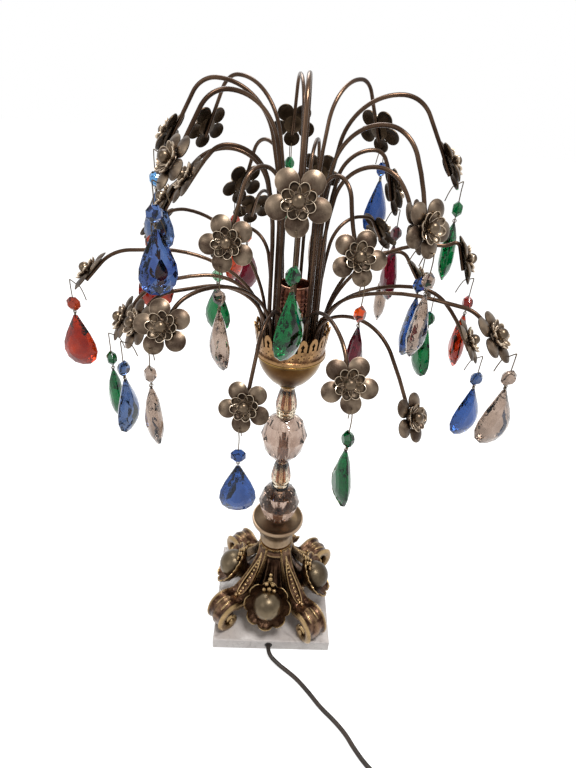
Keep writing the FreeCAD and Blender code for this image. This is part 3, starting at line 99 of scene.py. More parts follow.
class Graph:
    """Adds nodes to one node tree and links them."""

    def __init__(self, tree: bpy.types.NodeTree) -> None:
        """Starts on a tree.

        Args:
            tree: The node tree of a material, a world or a group.
        """
        self.tree = tree

    def add(self, kind: str, wires: dict[Any, Any] | None = None, **settings: Any) -> bpy.types.Node:
        """Adds a node.

        Args:
            kind: The node's type name without the leading ShaderNode.
            wires: Sockets or plain values for the node's inputs, by name or by number.
            **settings: The node's own properties.

        Returns:
            The node.
        """
        node = self.tree.nodes.new("ShaderNode" + kind)
        for key, value in settings.items():
            setattr(node, key, value)
        for key, value in (wires or {}).items():
            socket = node.inputs[key]
            if isinstance(value, bpy.types.NodeSocket):
                self.tree.links.new(value, socket)
            else:
                socket.default_value = value
        return node

    def blend(self, share: Any, first: Any, second: Any, mode: str = "MIX") -> bpy.types.NodeSocket:
        """Mixes two colours.

        Args:
            share: How much of the second colour shows.
            first: The first colour.
            second: The second colour.
            mode: The blend type.

        Returns:
            The mixed colour.
        """
        node = self.add("Mix", {0: share, 6: first, 7: second}, data_type="RGBA", blend_type=mode)
        return node.outputs[2]

    def sum_up(self, operation: str, first: Any, second: Any = 0.0, third: Any = 0.0) -> bpy.types.NodeSocket:
        """Does one step of arithmetic.

        Args:
            operation: The math node's operation.
            first: The first number.
            second: The second number.
            third: The third number, where the operation has one.

        Returns:
            The result.
        """
        return self.add("Math", {0: first, 1: second, 2: third}, operation=operation).outputs[0]

    def spread(self, value: Any, low: float, high: float, start: Any = 0.0, end: Any = 1.0) -> bpy.types.NodeSocket:
        """Maps a range of a value smoothly to another range.

        Args:
            value: The number to map.
            low: Where the range starts.
            high: Where the range ends.
            start: The result at the start.
            end: The result at the end.

        Returns:
            The mapped number.
        """
        node = self.add("MapRange", {0: value, 1: low, 2: high, 3: start, 4: end}, interpolation_type="SMOOTHSTEP")
        return node.outputs[0]

    def noise(self, scale: Any, detail: float = 4.0, distortion: float = 0.0) -> bpy.types.NodeSocket:
        """Adds a noise on Object coordinates.

        Args:
            scale: Patches for each metre.
            detail: Octaves of finer noise.
            distortion: How far the noise is stirred.

        Returns:
            The noise, from 0 to 1.
        """
        place = self.add("TexCoord").outputs["Object"]
        node = self.add("TexNoise", {"Vector": place, "Scale": scale, "Detail": detail, "Distortion": distortion})
        return node.outputs[0]


def effect(name: str, takes: Sequence[tuple[str, str, Any]], gives: Sequence[tuple[str, str]],
           build: Callable[[Graph, Any], dict[str, bpy.types.NodeSocket]]) -> bpy.types.NodeTree:
    """Builds a shader node group once.

    Args:
        name: The group's name.
        takes: Name, kind and default of each input.
        gives: Name and kind of each output.
        build: Makes the nodes from the inputs and returns the outputs by name.

    Returns:
        The node group.
    """
    tree = bpy.data.node_groups.get(name)
    if tree is not None:
        return tree
    tree = bpy.data.node_groups.new(name, "ShaderNodeTree")
    for label, kind, default in takes:
        socket = tree.interface.new_socket(label, in_out="INPUT", socket_type="NodeSocket" + kind)
        socket.default_value = default
    for label, kind in gives:
        tree.interface.new_socket(label, in_out="OUTPUT", socket_type="NodeSocket" + kind)
    graph = Graph(tree)
    start = tree.nodes.new("NodeGroupInput")
    end = tree.nodes.new("NodeGroupOutput")
    for label, socket in build(graph, start.outputs).items():
        tree.links.new(socket, end.inputs[label])
    return tree


SURFACE_OUTPUTS = (("Color", "Color"), ("Roughness", "Float"), ("Height", "Float"))


def patina() -> bpy.types.NodeTree:
    """Aged metal: edges lightened by rubbed wear together with painted highlight, dark hollows, cloudy patches, and
    painted shade from the Shade input.
    """

    def build(graph: Graph, given: Any) -> dict[str, bpy.types.NodeSocket]:
        clouds = graph.noise(given["Scale"], 5.0, 0.4)
        grain = graph.noise(graph.sum_up("MULTIPLY", given["Scale"], 14.0), 3.0)
        bend = graph.add("NewGeometry").outputs["Pointiness"]
        stirred = graph.sum_up("ADD", bend, graph.sum_up("MULTIPLY", graph.sum_up("SUBTRACT", grain, 0.5), 0.03))
        # Painted highlight together with rubbed wear: sharp convex edges, found by Pointiness, take the bright colour.
        edge = graph.sum_up("MULTIPLY", graph.spread(stirred, 0.51, 0.58), given["Wear"])
        hollow = graph.spread(stirred, 0.42, 0.495, 1.0, 0.0)
        colour = graph.blend(graph.spread(clouds, 0.34, 0.68), given["Dark"], given["Middle"])
        colour = graph.blend(graph.sum_up("MULTIPLY", hollow, 0.85), colour, given["Dark"])
        colour = graph.blend(edge, colour, given["Bright"])
        # Painted shade: the mesh's shade attribute darkens hidden places towards the dark colour.
        colour = graph.blend(graph.sum_up("SUBTRACT", 1.0, given["Shade"]), colour, given["Dark"])
        rough = graph.sum_up("MULTIPLY_ADD", graph.sum_up("SUBTRACT", 0.5, clouds), 0.35, given["Roughness"])
        rough = graph.sum_up("MULTIPLY_ADD", edge, -0.12, rough)
        height = graph.sum_up("MULTIPLY_ADD", grain, 0.35, clouds)
        return {"Color": colour, "Roughness": graph.sum_up("MAXIMUM", rough, 0.06), "Height": height}

    takes = (("Bright", "Color", paint("c0a080")), ("Middle", "Color", paint("806040")),
             ("Dark", "Color", paint("302010")), ("Scale", "Float", 60.0), ("Roughness", "Float", 0.35),
             ("Wear", "Float", 0.8), ("Shade", "Float", 1.0))
    return effect("patina", takes, SURFACE_OUTPUTS, build)


def veining() -> bpy.types.NodeTree:
    """Polished stone: soft clouds with thin wandering veins."""

    def build(graph: Graph, given: Any) -> dict[str, bpy.types.NodeSocket]:
        clouds = graph.noise(given["Scale"], 6.0, 1.2)
        place = graph.add("TexCoord").outputs["Object"]
        shift = graph.add("VectorMath", {0: graph.add("TexNoise", {"Vector": place, "Scale": 24.0}).outputs["Color"],
                                         "Scale": 0.035}, operation="SCALE").outputs[0]
        moved = graph.add("VectorMath", {0: place, 1: shift}, operation="ADD").outputs[0]
        cells = graph.add("TexVoronoi", {"Vector": moved, "Scale": given["Scale"]}, feature="DISTANCE_TO_EDGE")
        vein = graph.spread(cells.outputs["Distance"], 0.0, 0.05, 1.0, 0.0)
        vein = graph.sum_up("MULTIPLY", vein, graph.spread(clouds, 0.45, 0.7))
        colour = graph.blend(graph.spread(clouds, 0.3, 0.7), given["Ground"], given["Cloud"])
        colour = graph.blend(graph.sum_up("MULTIPLY", vein, 0.75), colour, given["Vein"])
        rough = graph.spread(graph.noise(180.0, 2.0), 0.2, 0.8, 0.22, 0.38)
        return {"Color": colour, "Roughness": rough, "Height": graph.sum_up("MULTIPLY_ADD", vein, -0.6, clouds)}

    takes = (("Ground", "Color", paint("d8d4d0")), ("Cloud", "Color", paint("c0bab6")),
             ("Vein", "Color", paint("807a78")), ("Scale", "Float", 18.0))
    return effect("veining", takes, SURFACE_OUTPUTS, build)


def smudges() -> bpy.types.NodeTree:
    """Glass: a slow change of tint and faint smears."""

    def build(graph: Graph, given: Any) -> dict[str, bpy.types.NodeSocket]:
        slow = graph.noise(given["Scale"], 2.0, 0.6)
        fine = graph.noise(graph.sum_up("MULTIPLY", given["Scale"], 8.0), 3.0)
        colour = graph.blend(graph.spread(slow, 0.35, 0.65), given["Tint"], given["Deep"])
        return {"Color": colour, "Roughness": graph.spread(fine, 0.45, 0.8, 0.0, given["Smear"]), "Height": slow}

    takes = (("Tint", "Color", paint("e0e0e0")), ("Deep", "Color", paint("a0a0a0")), ("Scale", "Float", 40.0),
             ("Smear", "Float", 0.05))
    return effect("smudges", takes, SURFACE_OUTPUTS, build)


def fuzz() -> bpy.types.NodeTree:
    """Felt: tangled fibres and uneven dye."""

    def build(graph: Graph, given: Any) -> dict[str, bpy.types.NodeSocket]:
        fibres = graph.noise(1800.0, 6.0, 2.5)
        dye = graph.noise(70.0, 3.0)
        colour = graph.blend(graph.spread(dye, 0.3, 0.7), given["Tint"], given["Deep"])
        colour = graph.blend(graph.spread(fibres, 0.5, 0.8, 0.0, 0.35), colour, given["Tint"])
        return {"Color": colour, "Roughness": graph.spread(fibres, 0.2, 0.8, 0.85, 1.0), "Height": fibres}

    takes = (("Tint", "Color", paint("50584c")), ("Deep", "Color", paint("2c3029")))
    return effect("fuzz", takes, SURFACE_OUTPUTS, build)


def moulding() -> bpy.types.NodeTree:
    """Plastic: fine spark grain, handling shine and a slight change of shade."""

    def build(graph: Graph, given: Any) -> dict[str, bpy.types.NodeSocket]:
        grain = graph.noise(given["Grain"], 2.0)
        shine = graph.noise(45.0, 3.0)
        colour = graph.blend(graph.spread(shine, 0.3, 0.7), given["Tint"], given["Deep"])
        rough = graph.sum_up("MULTIPLY_ADD", graph.sum_up("SUBTRACT", shine, 0.5), 0.3, given["Roughness"])
        return {"Color": colour, "Roughness": rough, "Height": grain}

    takes = (("Tint", "Color", paint("3a2c24")), ("Deep", "Color", paint("201812")), ("Grain", "Float", 1600.0),
             ("Roughness", "Float", 0.42))
    return effect("moulding", takes, SURFACE_OUTPUTS, build)


# Finishes


def dressed(name: str, group: Callable[[], bpy.types.NodeTree], values: dict[str, Any], relief: float,
            sockets: dict[str, Any], shaded: bool = False) -> bpy.types.Material:
    """Makes a material whose colour, roughness and bump come from one effect.

    Args:
        name: The material's name.
        group: The effect.
        values: The effect's inputs.
        relief: Depth of the bump in metres.
        sockets: Plain values for the shader's own sockets.
        shaded: Whether the mesh's shade attribute paints shade on hidden places.

    Returns:
        The material.
    """
    found = bpy.data.materials.get(name)
    if found is not None:
        return found
    material = bpy.data.materials.new(name)
    graph = Graph(emptied(material))
    surface = material.node_tree.nodes.new("ShaderNodeGroup")
    surface.node_tree = group()
    for key, value in values.items():
        surface.inputs[key].default_value = value
    if shaded:
        shade = graph.add("Attribute", attribute_name=SHADE)
        graph.tree.links.new(shade.outputs["Fac"], surface.inputs["Shade"])
    bump = graph.add("Bump", {"Height": surface.outputs["Height"], "Strength": 1.0, "Distance": relief})
    shader = graph.add("BsdfPrincipled", {"Base Color": surface.outputs["Color"],
                                          "Roughness": surface.outputs["Roughness"],
                                          "Normal": bump.outputs[0], **sockets})
    graph.add("OutputMaterial", {"Surface": shader.outputs[0]})
    return material


@dataclass(frozen=True)
class Metal:
    """Aged metal with a bright, a middle and a dark colour.

    Attributes:
        name: Name of the material.
        bright: Colour of edges, both rubbed wear and painted highlight.
        middle: Colour of the faces.
        dark: Colour of hollows and patches.
        roughness: Mean roughness.
        wear: How strongly edges are rubbed and lit with painted highlight.
        scale: Patches for each metre.
        relief: Depth of the bump, in metres.
        shaded: Whether the mesh's shade attribute paints shade on hidden places.
    """

    name: str
    bright: str
    middle: str
    dark: str
    roughness: float = 0.32
    wear: float = 0.8
    scale: float = 60.0
    relief: float = 0.0002
    shaded: bool = False

    def material(self) -> bpy.types.Material:
        """Makes the material or finds it."""
        values = {"Bright": paint(self.bright), "Middle": paint(self.middle), "Dark": paint(self.dark),
                  "Scale": self.scale, "Roughness": self.roughness, "Wear": self.wear}
        return dressed(self.name, patina, values, self.relief, {"Metallic": 1.0}, self.shaded)


@dataclass(frozen=True)
class Glass:
    """Clear or coloured cut glass.

    Attributes:
        name: Name of the material.
        tint: Colour where the glass is thin.
        deep: Colour where it is thick.
        smear: Greatest roughness of the smears.
    """

    name: str
    tint: str
    deep: str
    smear: float = 0.02

    def material(self) -> bpy.types.Material:
        """Makes the material or finds it."""
        values = {"Tint": paint(self.tint), "Deep": paint(self.deep), "Scale": 45.0, "Smear": self.smear}
        sockets = {"Metallic": 0.0, "Transmission Weight": 1.0, "IOR": 1.54, "Specular Tint": (0.5, 0.5, 0.5, 1.0)}
        return dressed(self.name, smudges, values, 0.00001, sockets)


@dataclass(frozen=True)
class Stone:
    """Polished marble.

    Attributes:
        name: Name of the material.
        ground: Main colour.
        cloud: Colour of the soft clouds.
        vein: Colour of the veins.
    """

    name: str
    ground: str
    cloud: str
    vein: str

    def material(self) -> bpy.types.Material:
        """Makes the material or finds it."""
        values = {"Ground": paint(self.ground), "Cloud": paint(self.cloud), "Vein": paint(self.vein)}
        return dressed(self.name, veining, values, 0.00008, {"Coat Weight": 0.25, "Coat Roughness": 0.12})


@dataclass(frozen=True)
class Felt:
    """Pressed wool felt.

    Attributes:
        name: Name of the material.
        tint: Lighter dye.
        deep: Darker dye.
    """

    name: str
    tint: str
    deep: str

    def material(self) -> bpy.types.Material:
        """Makes the material or finds it."""
        values = {"Tint": paint(self.tint), "Deep": paint(self.deep)}
        return dressed(self.name, fuzz, values, 0.0003, {"Sheen Weight": 0.4})


@dataclass(frozen=True)
class Plastic:
    """Moulded plastic.

    Attributes:
        name: Name of the material.
        tint: Lighter shade.
        deep: Darker shade.
        roughness: Mean roughness.
    """

    name: str
    tint: str
    deep: str
    roughness: float = 0.42

    def material(self) -> bpy.types.Material:
        """Makes the material or finds it."""
        values = {"Tint": paint(self.tint), "Deep": paint(self.deep), "Roughness": self.roughness}
        return dressed(self.name, moulding, values, 0.00004, {"Specular IOR Level": 0.4})


CAST = Metal("cast_patina", "b89c70", "705644", "301e15", roughness=0.34, wear=0.7, scale=110.0, relief=0.0004)
DISH = Metal("dish_bronze", "a89078", "8a7660", "66543f", roughness=0.38, wear=0.6, scale=40.0, relief=0.0001)
POLISHED = Metal("ball_silver", "a8987e", "6c5f4c", "443a2e", roughness=0.36, wear=0.4, scale=26.0, relief=0.0001)
LIP = Metal("lip_brass", "a88a5c", "6c5034", "3a2818", roughness=0.30, wear=0.8, scale=50.0)
CUP = Metal("cup_brass", "a88850", "7a5e34", "4c3218", roughness=0.30, wear=0.6, scale=24.0, relief=0.0001)
GALLERY = Metal("gallery_brass", "a8845a", "805f40", "4a3020", roughness=0.34, wear=0.6, scale=90.0)
ROD = Metal("bronze_rod", "8c745e", "5e4a3b", "3a2b21", roughness=0.28, wear=0.0, scale=26.0, relief=0.00002)
PETAL = Metal("petal_bronze", "b6a492", "80705f", "3e3128", roughness=0.40, wear=0.8, scale=70.0, relief=0.0001,
              shaded=True)
CROWN = Metal("crown_bronze", "ccbaa4", "988874", "52443a", roughness=0.40, wear=0.9, scale=120.0, relief=0.0001,
              shaded=True)
# Painted shade: a darker copy of the petal bronze for faces turned away from the flower's front.
SHADED_PETAL_BACK = Metal("petal_back_painted_shade", "5c4c3a", "3c3024", "281e15", roughness=0.45, wear=0.5, scale=90.0, relief=0.0001)
SEED = Metal("seed_silver", "8c7c68", "5e4f40", "3e3228", roughness=0.34, wear=0.5, scale=90.0, relief=0.0001)
HOOK = Metal("hook_wire", "8c7a60", "4c3e32", "281e17", roughness=0.32, wear=0.4, scale=160.0, relief=0.00005)
STEEL = Metal("plated_steel", "d8d8d8", "a8a8a6", "6c6c6a", roughness=0.28, wear=0.6, scale=90.0, relief=0.00008)
PIPE = Metal("pipe_brass", "e4d4c4", "c8b4a4", "98806e", roughness=0.30, wear=0.6, scale=60.0, relief=0.0001)
COPPER = Metal("copper_sheet", "dca88c", "a8705a", "6c4030", roughness=0.30, wear=0.7, scale=60.0, relief=0.0001)
STEM = Glass("stem_crystal", "b09a8c", "8c7466", 0.15)
NECK = Glass("neck_crystal", "e8dcc6", "ccb89c")
PANEL = Glass("panel_crystal", "7c4428", "4c1e12")
MARBLE = Stone("white_marble", "d4cdc8", "bab1ac", "8a807c")
GREEN_FELT = Felt("green_felt", "555c50", "31362d")
CORD = Plastic("cord_sheath", "33251a", "20160e", 0.46)
SWITCH = Plastic("brown_switch", "3a2a20", "241811", 0.32)
PHENOLIC = Plastic("phenolic", "2e2620", "1a1410", 0.45)


class Tint(Enum):
    """Colours of the cut-glass drops."""

    CLEAR = Glass("cut_clear", "a49082", "7c685a")
    GREEN = Glass("cut_green", "046030", "003818")
    PALE_GREEN = Glass("cut_pale_green", "78a884", "4c8058")
    BLUE = Glass("cut_blue", "2c4c88", "183468")
    LIGHT_BLUE = Glass("cut_light_blue", "5c98cc", "3474ac")
    COBALT = Glass("cut_cobalt", "4c6494", "263870")
    GREY_BLUE = Glass("cut_grey_blue", "54688c", "344870")
    RED = Glass("cut_red", "a83008", "640c04")
    ORANGE = Glass("cut_orange", "cc4c14", "942808")
    AMBER = Glass("cut_amber", "a03c20", "702010")
    GARNET = Glass("cut_garnet", "5c1020", "340810")


# Modelling


def turned(profile: Sequence[tuple[float, float]], steps: int = 72, closed: bool = False) -> bmesh.types.BMesh:
    """Spins a profile once round the upright axis.

    Args:
        profile: Radius and height of each point, from below.
        steps: Faces round the axis.
        closed: Whether the last point joins the first, as round a bore.

    Returns:
        The closed shape.
    """
    bm = bmesh.new()
    line = [bm.verts.new((radius, 0.0, height)) for radius, height in profile]
    edges = [bm.edges.new(pair) for pair in zip(line, line[1:])]
    if closed:
        edges.append(bm.edges.new((line[-1], line[0])))
    bmesh.ops.spin(bm, geom=line + edges, cent=(0, 0, 0), axis=(0, 0, 1), angle=2 * math.pi, steps=steps,
                   use_merge=True)
    bmesh.ops.remove_doubles(bm, verts=bm.verts, dist=1e-4)
    bmesh.ops.recalc_face_normals(bm, faces=bm.faces)
    return bm


def lifted(profile: Sequence[tuple[float, float]], base: float) -> list[tuple[float, float]]:
    """Gives a profile whose heights count from a base."""
    return [(radius, base + height) for radius, height in profile]


def flowing(points: Sequence[Sequence[float]], steps: int) -> list[Vector]:
    """Runs a smooth line through points of any size.

    Args:
        points: The points, each with the same count of numbers.
        steps: Stretches between two points.

    Returns:
        The line's points, both ends among them.
    """
    rows = [list(points[0]), *map(list, points), list(points[-1])]
    line = []
    for at in range(len(points) - 1):
        before, start, end, after = rows[at:at + 4]
        for step in range(steps):
            share = step / steps
            line.append(Vector([0.5 * (2 * b + (c - a) * share + (2 * a - 5 * b + 4 * c - d) * share ** 2
                                       + (3 * b - a - 3 * c + d) * share ** 3)
                                for a, b, c, d in zip(before, start, end, after)]))
    return line + [Vector(points[-1])]


def swept(bm: bmesh.types.BMesh, section: Sequence[tuple[float, float]], path: Sequence[Vector],
          sizes: Sequence[tuple[float, float]], side: Vector) -> None:
    """Extrudes a section along a path, step by step, and closes both ends.

    Args:
        bm: Takes the shape.
        section: The section's corners in its own width and thickness.
        path: The path's points.
        sizes: Width and thickness at each point.
        side: The direction of the width at the start, square to the path.
    """
    frames = []
    across = side.normalized()
    for at, point in enumerate(path):
        ahead = (path[min(at + 1, len(path) - 1)] - path[max(at - 1, 0)]).normalized()
        across = (across - ahead * across.dot(ahead)).normalized()
        out = ahead.cross(across)
        wide, thick = sizes[at]
        frames.append(Matrix.Translation(point) @ axes(across * wide, out * thick, ahead))
    ring = [bm.verts.new(frames[0] @ Vector((x, y, 0.0))) for x, y in section]
    cap = bm.faces.new(ring)
    for before, after in zip(frames, frames[1:]):
        grown = bmesh.ops.extrude_face_region(bm, geom=[cap])["geom"]
        moved = [item for item in grown if isinstance(item, bmesh.types.BMVert)]
        cap = next(item for item in grown if isinstance(item, bmesh.types.BMFace))
        bmesh.ops.transform(bm, matrix=after @ before.inverted(), verts=moved)


def round_section(corners: int) -> list[tuple[float, float]]:
    """Gives a round section.

    Args:
        corners: Count of its corners.

    Returns:
        The corners on a circle of radius 1.
    """
    turns = [2 * math.pi * corner / corners for corner in range(corners)]
    return [(math.cos(turn), math.sin(turn)) for turn in turns]


def add_ball(bm: bmesh.types.BMesh, centre: Vector, radius: float, across: int = 16,
             stretch: Sequence[float] = (1.0, 1.0, 1.0)) -> None:
    """Adds a ball or an egg.

    Args:
        bm: Takes the shape.
        centre: Its middle.
        radius: Its radius.
        across: Faces round it.
        stretch: Its shares along the three axes.
    """
    place = Matrix.Translation(centre) @ Matrix.Diagonal((*stretch, 1.0))
    bmesh.ops.create_uvsphere(bm, u_segments=across, v_segments=across // 2 + 2, radius=radius, matrix=place)


def add_copy(bm: bmesh.types.BMesh, shape: bpy.types.Mesh, place: Matrix) -> None:
    """Adds a placed copy of a mesh.

    Args:
        bm: Takes the copy.
        shape: The mesh to copy.
        place: Where it goes.
    """
    copy = shape.copy()
    copy.transform(place)
    bm.from_mesh(copy)
    bpy.data.meshes.remove(copy)


def pattern(bm: bmesh.types.BMesh) -> bpy.types.Mesh:
    """Keeps a shape as a mesh to copy from.

    Args:
        bm: The shape, which is used up.

    Returns:
        The mesh.
    """
    mesh = bpy.data.meshes.new("pattern")
    bm.to_mesh(mesh)
    bm.free()
    return mesh


def place(name: str, bm: bmesh.types.BMesh, finish: Any, slot: str, stands_for: Sequence[str] = (),
          body: str = "lamp", crease: float = 38.0, lining: Any = None) -> bpy.types.Object:
    """Makes a piece of the lamp from a shape in millimetres.

    Args:
        name: The piece's name.
        bm: The shape, which is used up.
        finish: Its finish.
        slot: The record's material slot; not used.
        stands_for: The CAD nodes that it replaces.
        body: The body that it moves with.
        crease: Angle in degrees past which an edge stays sharp.
        lining: Finish of the faces whose material number is 1.

    Returns:
        The piece.
    """
    bmesh.ops.transform(bm, matrix=Matrix.Scale(MM, 4), verts=bm.verts)
    mesh = bpy.data.meshes.new(name)
    bm.to_mesh(mesh)
    bm.free()
    mesh.shade_smooth()
    mesh.set_sharp_from_angle(angle=math.radians(crease))
    mesh.materials.append(finish.material())
    if lining:
        mesh.materials.append(lining.material())
    piece = shown(name, mesh)
    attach(piece, body)
    if stands_for:
        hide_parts(*stands_for)
    LOG.info("%s: %d faces", name, len(mesh.polygons))
    return piece


def dress(nodes: Sequence[str], finish: Any) -> None:
    """Gives CAD nodes that stay a finish.

    Args:
        nodes: Their names.
        finish: The finish.
    """
    for name in nodes:
        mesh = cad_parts[name].data
        mesh.materials.clear()
        mesh.materials.append(finish.material())
        LOG.info("%s dressed in %s", name, finish.name)


# Camera, cords, floor and lights


@dataclass
class Viewpoint:
    """The photograph's camera.

    Attributes:
        location: Its place, in metres.
        pitch: Degrees that it looks down.
        roll: Degrees that it leans.
        lens: Focal length on a sensor 36 mm high.
    """

    location: tuple[float, float, float] = (0.0, -0.4237, 0.5935)
    pitch: float = 31.2
    roll: float = 4.4
    lens: float = 23.44

    def build(self) -> bpy.types.Object:
        """Makes the camera and the scene's camera of it."""
        data = bpy.data.cameras.new("camera")
        data.lens = self.lens
        data.sensor_fit = "VERTICAL"
        data.sensor_height = 36.0
        data.clip_start = 0.01
        pitch = Matrix.Rotation(math.radians(90 - self.pitch), 4, "X")
        roll = Matrix.Rotation(math.radians(self.roll), 4, "Z")
        camera = shown("camera", data)
        camera.matrix_world = Matrix.Translation(self.location) @ pitch @ roll
        bpy.context.scene.camera = camera
        return camera


@dataclass
class MainsLead:
    """The cord with its switch, its put-away coil and its plug.

    Attributes:
        across: Diameter of the cord.
        turn: Degrees that the plinth stands turned.
        exit_aside: The bore's distance to the left of the front's middle.
        exit_height: Height of the bore.
        front: Distance of the plinth's front from the stem.
        route: Way over the table, from the plinth to the switch.
        switch: Middle of the switch's near end.
        switch_long: Length of the switch.
        coil_radius: Outermost turn of the coil.
        coil_pitch: From turn to turn.
        coil_turns: Turns of one layer.
        lead: From the switch to the coil's middle.
        per_turn: Control points of one turn.
        free_end: From the coil to the plug's strain relief, before the last stretch.
        entry: Straight stretch of cord at a fitting.
        plug_middle: Height of the plug's middle.
        plug_size: Length, width and height of the plug's body.
        sleeve_long: Length of a strain relief.
        ribs: Ribs of a strain relief.
    """

    across: float = 5.0
    turn: float = 3.0
    exit_aside: float = 3.2
    exit_height: float = 8.8
    front: float = 70.0
    route: tuple[tuple[float, float, float], ...] = (
        (14, -90, 4.2), (26, -97, 2.6), (36.5, -104.5, 2.5), (51, -119, 2.5), (63, -133, 2.5), (78, -145.5, 2.5),
        (90, -158, 2.5), (98, -171, 2.5), (110, -186, 2.5), (125, -198, 3.2), (141, -204, 5.6))
    switch: tuple[float, float, float] = (160.0, -204.0, 7.0)
    switch_long: float = 58.0
    coil_radius: float = 41.0
    coil_pitch: float = 5.8
    coil_turns: float = 3.5
    lead: float = 44.0
    per_turn: int = 14
    free_end: float = 34.0
    entry: float = 8.0
    plug_middle: float = 6.5
    plug_size: tuple[float, float, float] = (26.0, 22.0, 13.0)
    sleeve_long: float = 22.0
    ribs: int = 7

    def front_face(self, depth: float) -> Vector:
        """Gives a point on the bore's line.

        Args:
            depth: Distance behind the plinth's front.

        Returns:
            The point.
        """
        place = Vector((-self.exit_aside, depth - self.front, self.exit_height))
        return Matrix.Rotation(math.radians(self.turn), 3, "Z") @ place

    def coil_place(self, turns: float) -> Vector:
        """Gives a point of the coil.

        Args:
            turns: Turns from its start.

        Returns:
            The point from the coil's middle on the table.
        """
        ground = self.across / 2
        inner = self.coil_radius - self.coil_pitch * self.coil_turns
        past = turns - self.coil_turns
        if past <= 0:
            radius, height = self.coil_radius - self.coil_pitch * turns, ground
        elif past <= 0.5:
            radius = inner - self.coil_pitch * past * (1 - 2 * past)
            height = ground + self.coil_pitch * (12 * past ** 2 - 16 * past ** 3)
        else:
            radius, height = inner + self.coil_pitch * (past - 0.5), ground + self.coil_pitch
        angle = math.pi / 2 - 2 * math.pi * turns
        return Vector((radius * math.cos(angle), radius * math.sin(angle), height))

    def line(self, name: str, points: Sequence[Vector]) -> bpy.types.Object:
        """Makes a cord from the points that it follows.

        Args:
            name: The cord's name.
            points: Its control points.

        Returns:
            The cord.
        """
        data = bpy.data.curves.new(name, "CURVE")
        data.dimensions = "3D"
        data.bevel_depth = self.across / 2 * MM
        data.bevel_resolution = 4
        data.use_fill_caps = True
        spline = data.splines.new("NURBS")
        spline.points.add(len(points) - 1)
        for place, point in zip(spline.points, points):
            place.co = (*(point * MM), 1.0)
        spline.order_u = 3
        spline.use_endpoint_u = True
        spline.resolution_u = 10
        data.materials.append(CORD.material())
        cord = shown(name, data)
        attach(cord, "lamp")
        LOG.info("%s: %d points", name, len(points))
        return cord

    def sleeve(self, name: str, start: Vector, heading: Vector) -> bpy.types.Object:
        """Makes a ribbed strain relief that narrows along the cord.

        Args:
            name: The piece's name.
            start: Its thick end.
            heading: The way that it narrows.

        Returns:
            The piece.
        """
        thick, thin = self.across * 0.95, self.across * 0.62
        profile = [(0.0, 0.0)]
        for rib in range(self.ribs):
            base = rib * self.sleeve_long / self.ribs
            radius = thick + (thin - thick) * rib / (self.ribs - 1)
            profile.append((radius, base))
            for share, upper in ((1.0, 0.62), (0.86, 0.7), (0.86, 0.96)):
                profile.append((radius * share, base + upper * self.sleeve_long / self.ribs))
        profile.append((0.0, self.sleeve_long))
        bm = turned(profile, 24)
        turn = UP.rotation_difference(heading).to_matrix().to_4x4()
        bmesh.ops.transform(bm, matrix=Matrix.Translation(start) @ turn, verts=bm.verts)
        return place(name, bm, SWITCH, "black_plastic")

    def plug(self, end: Vector, heading: Vector) -> bpy.types.Object:
        """Makes the plug's body with finger grips.

        Args:
            end: Where the cord enters it.
            heading: The way to its blades.

        Returns:
            The piece.
        """
        bm = bmesh.new()
        bmesh.ops.create_cube(bm, size=1.0)
        bmesh.ops.subdivide_edges(bm, edges=bm.edges, cuts=5, use_grid_fill=True)
        grip = [vert for vert in bm.verts if abs(vert.co.y) > 0.49 and vert.co.x < 0.2]
        for vert in grip:
            vert.co.y *= 0.62 + 0.38 * max(0.0, (vert.co.x + 0.5) / 0.7) ** 0.8
        bmesh.ops.scale(bm, vec=self.plug_size, verts=bm.verts)
        turn = axes(heading, UP.cross(heading), UP)
        middle = end + heading * (self.plug_size[0] / 2)
        bmesh.ops.transform(bm, matrix=Matrix.Translation(middle) @ turn, verts=bm.verts)
        sharp = [edge for edge in bm.edges if edge.calc_face_angle(0.0) > 0.6]
        bmesh.ops.bevel(bm, geom=sharp, offset=2.2, segments=4, profile=0.5, affect="EDGES", material=-1)
        return place("plug", bm, SWITCH, "black_plastic", ["plug_body"])

    def build(self) -> None:
        switch = Vector(self.switch)
        ahead = Vector((1.0, 0.0, 0.0))
        points = [self.front_face(20), self.front_face(6), self.front_face(-11)]
        points += [Vector(point) for point in self.route] + [switch - ahead * self.entry, switch]
        near = self.line("lead", points)
        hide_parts("lamp_cord")
        switch_end = switch + ahead * self.switch_long
        centre = Vector((switch_end.x + self.lead, switch.y - self.coil_radius, 0.0))
        count = round((2 * self.coil_turns + 0.5) * self.per_turn)
        points = [switch_end, switch_end + ahead * self.entry]
        points += [centre + self.coil_place(step / self.per_turn) for step in range(count + 1)]
        slope = self.coil_pitch / (2 * math.pi * self.coil_radius)
        heading = Vector((-1.0, -slope, 0.0)).normalized()
        tail = points[-1] + heading * self.free_end
        tail.z = self.plug_middle
        end = tail + heading * self.entry
        far = self.line("coiled_lead", points + [tail, end])
        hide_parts("cord_coil")
        sleeves = [self.sleeve("switch_sleeve_near", switch, -ahead),
                   self.sleeve("switch_sleeve_far", switch_end, ahead), self.sleeve("plug_sleeve", end, -heading)]
        plug = self.plug(end, heading)
        dress(["switch_housing", "switch_rocker"], SWITCH)
        dress(["plug_blades"], STEEL)
        dress(["cord_bushing"], PHENOLIC)


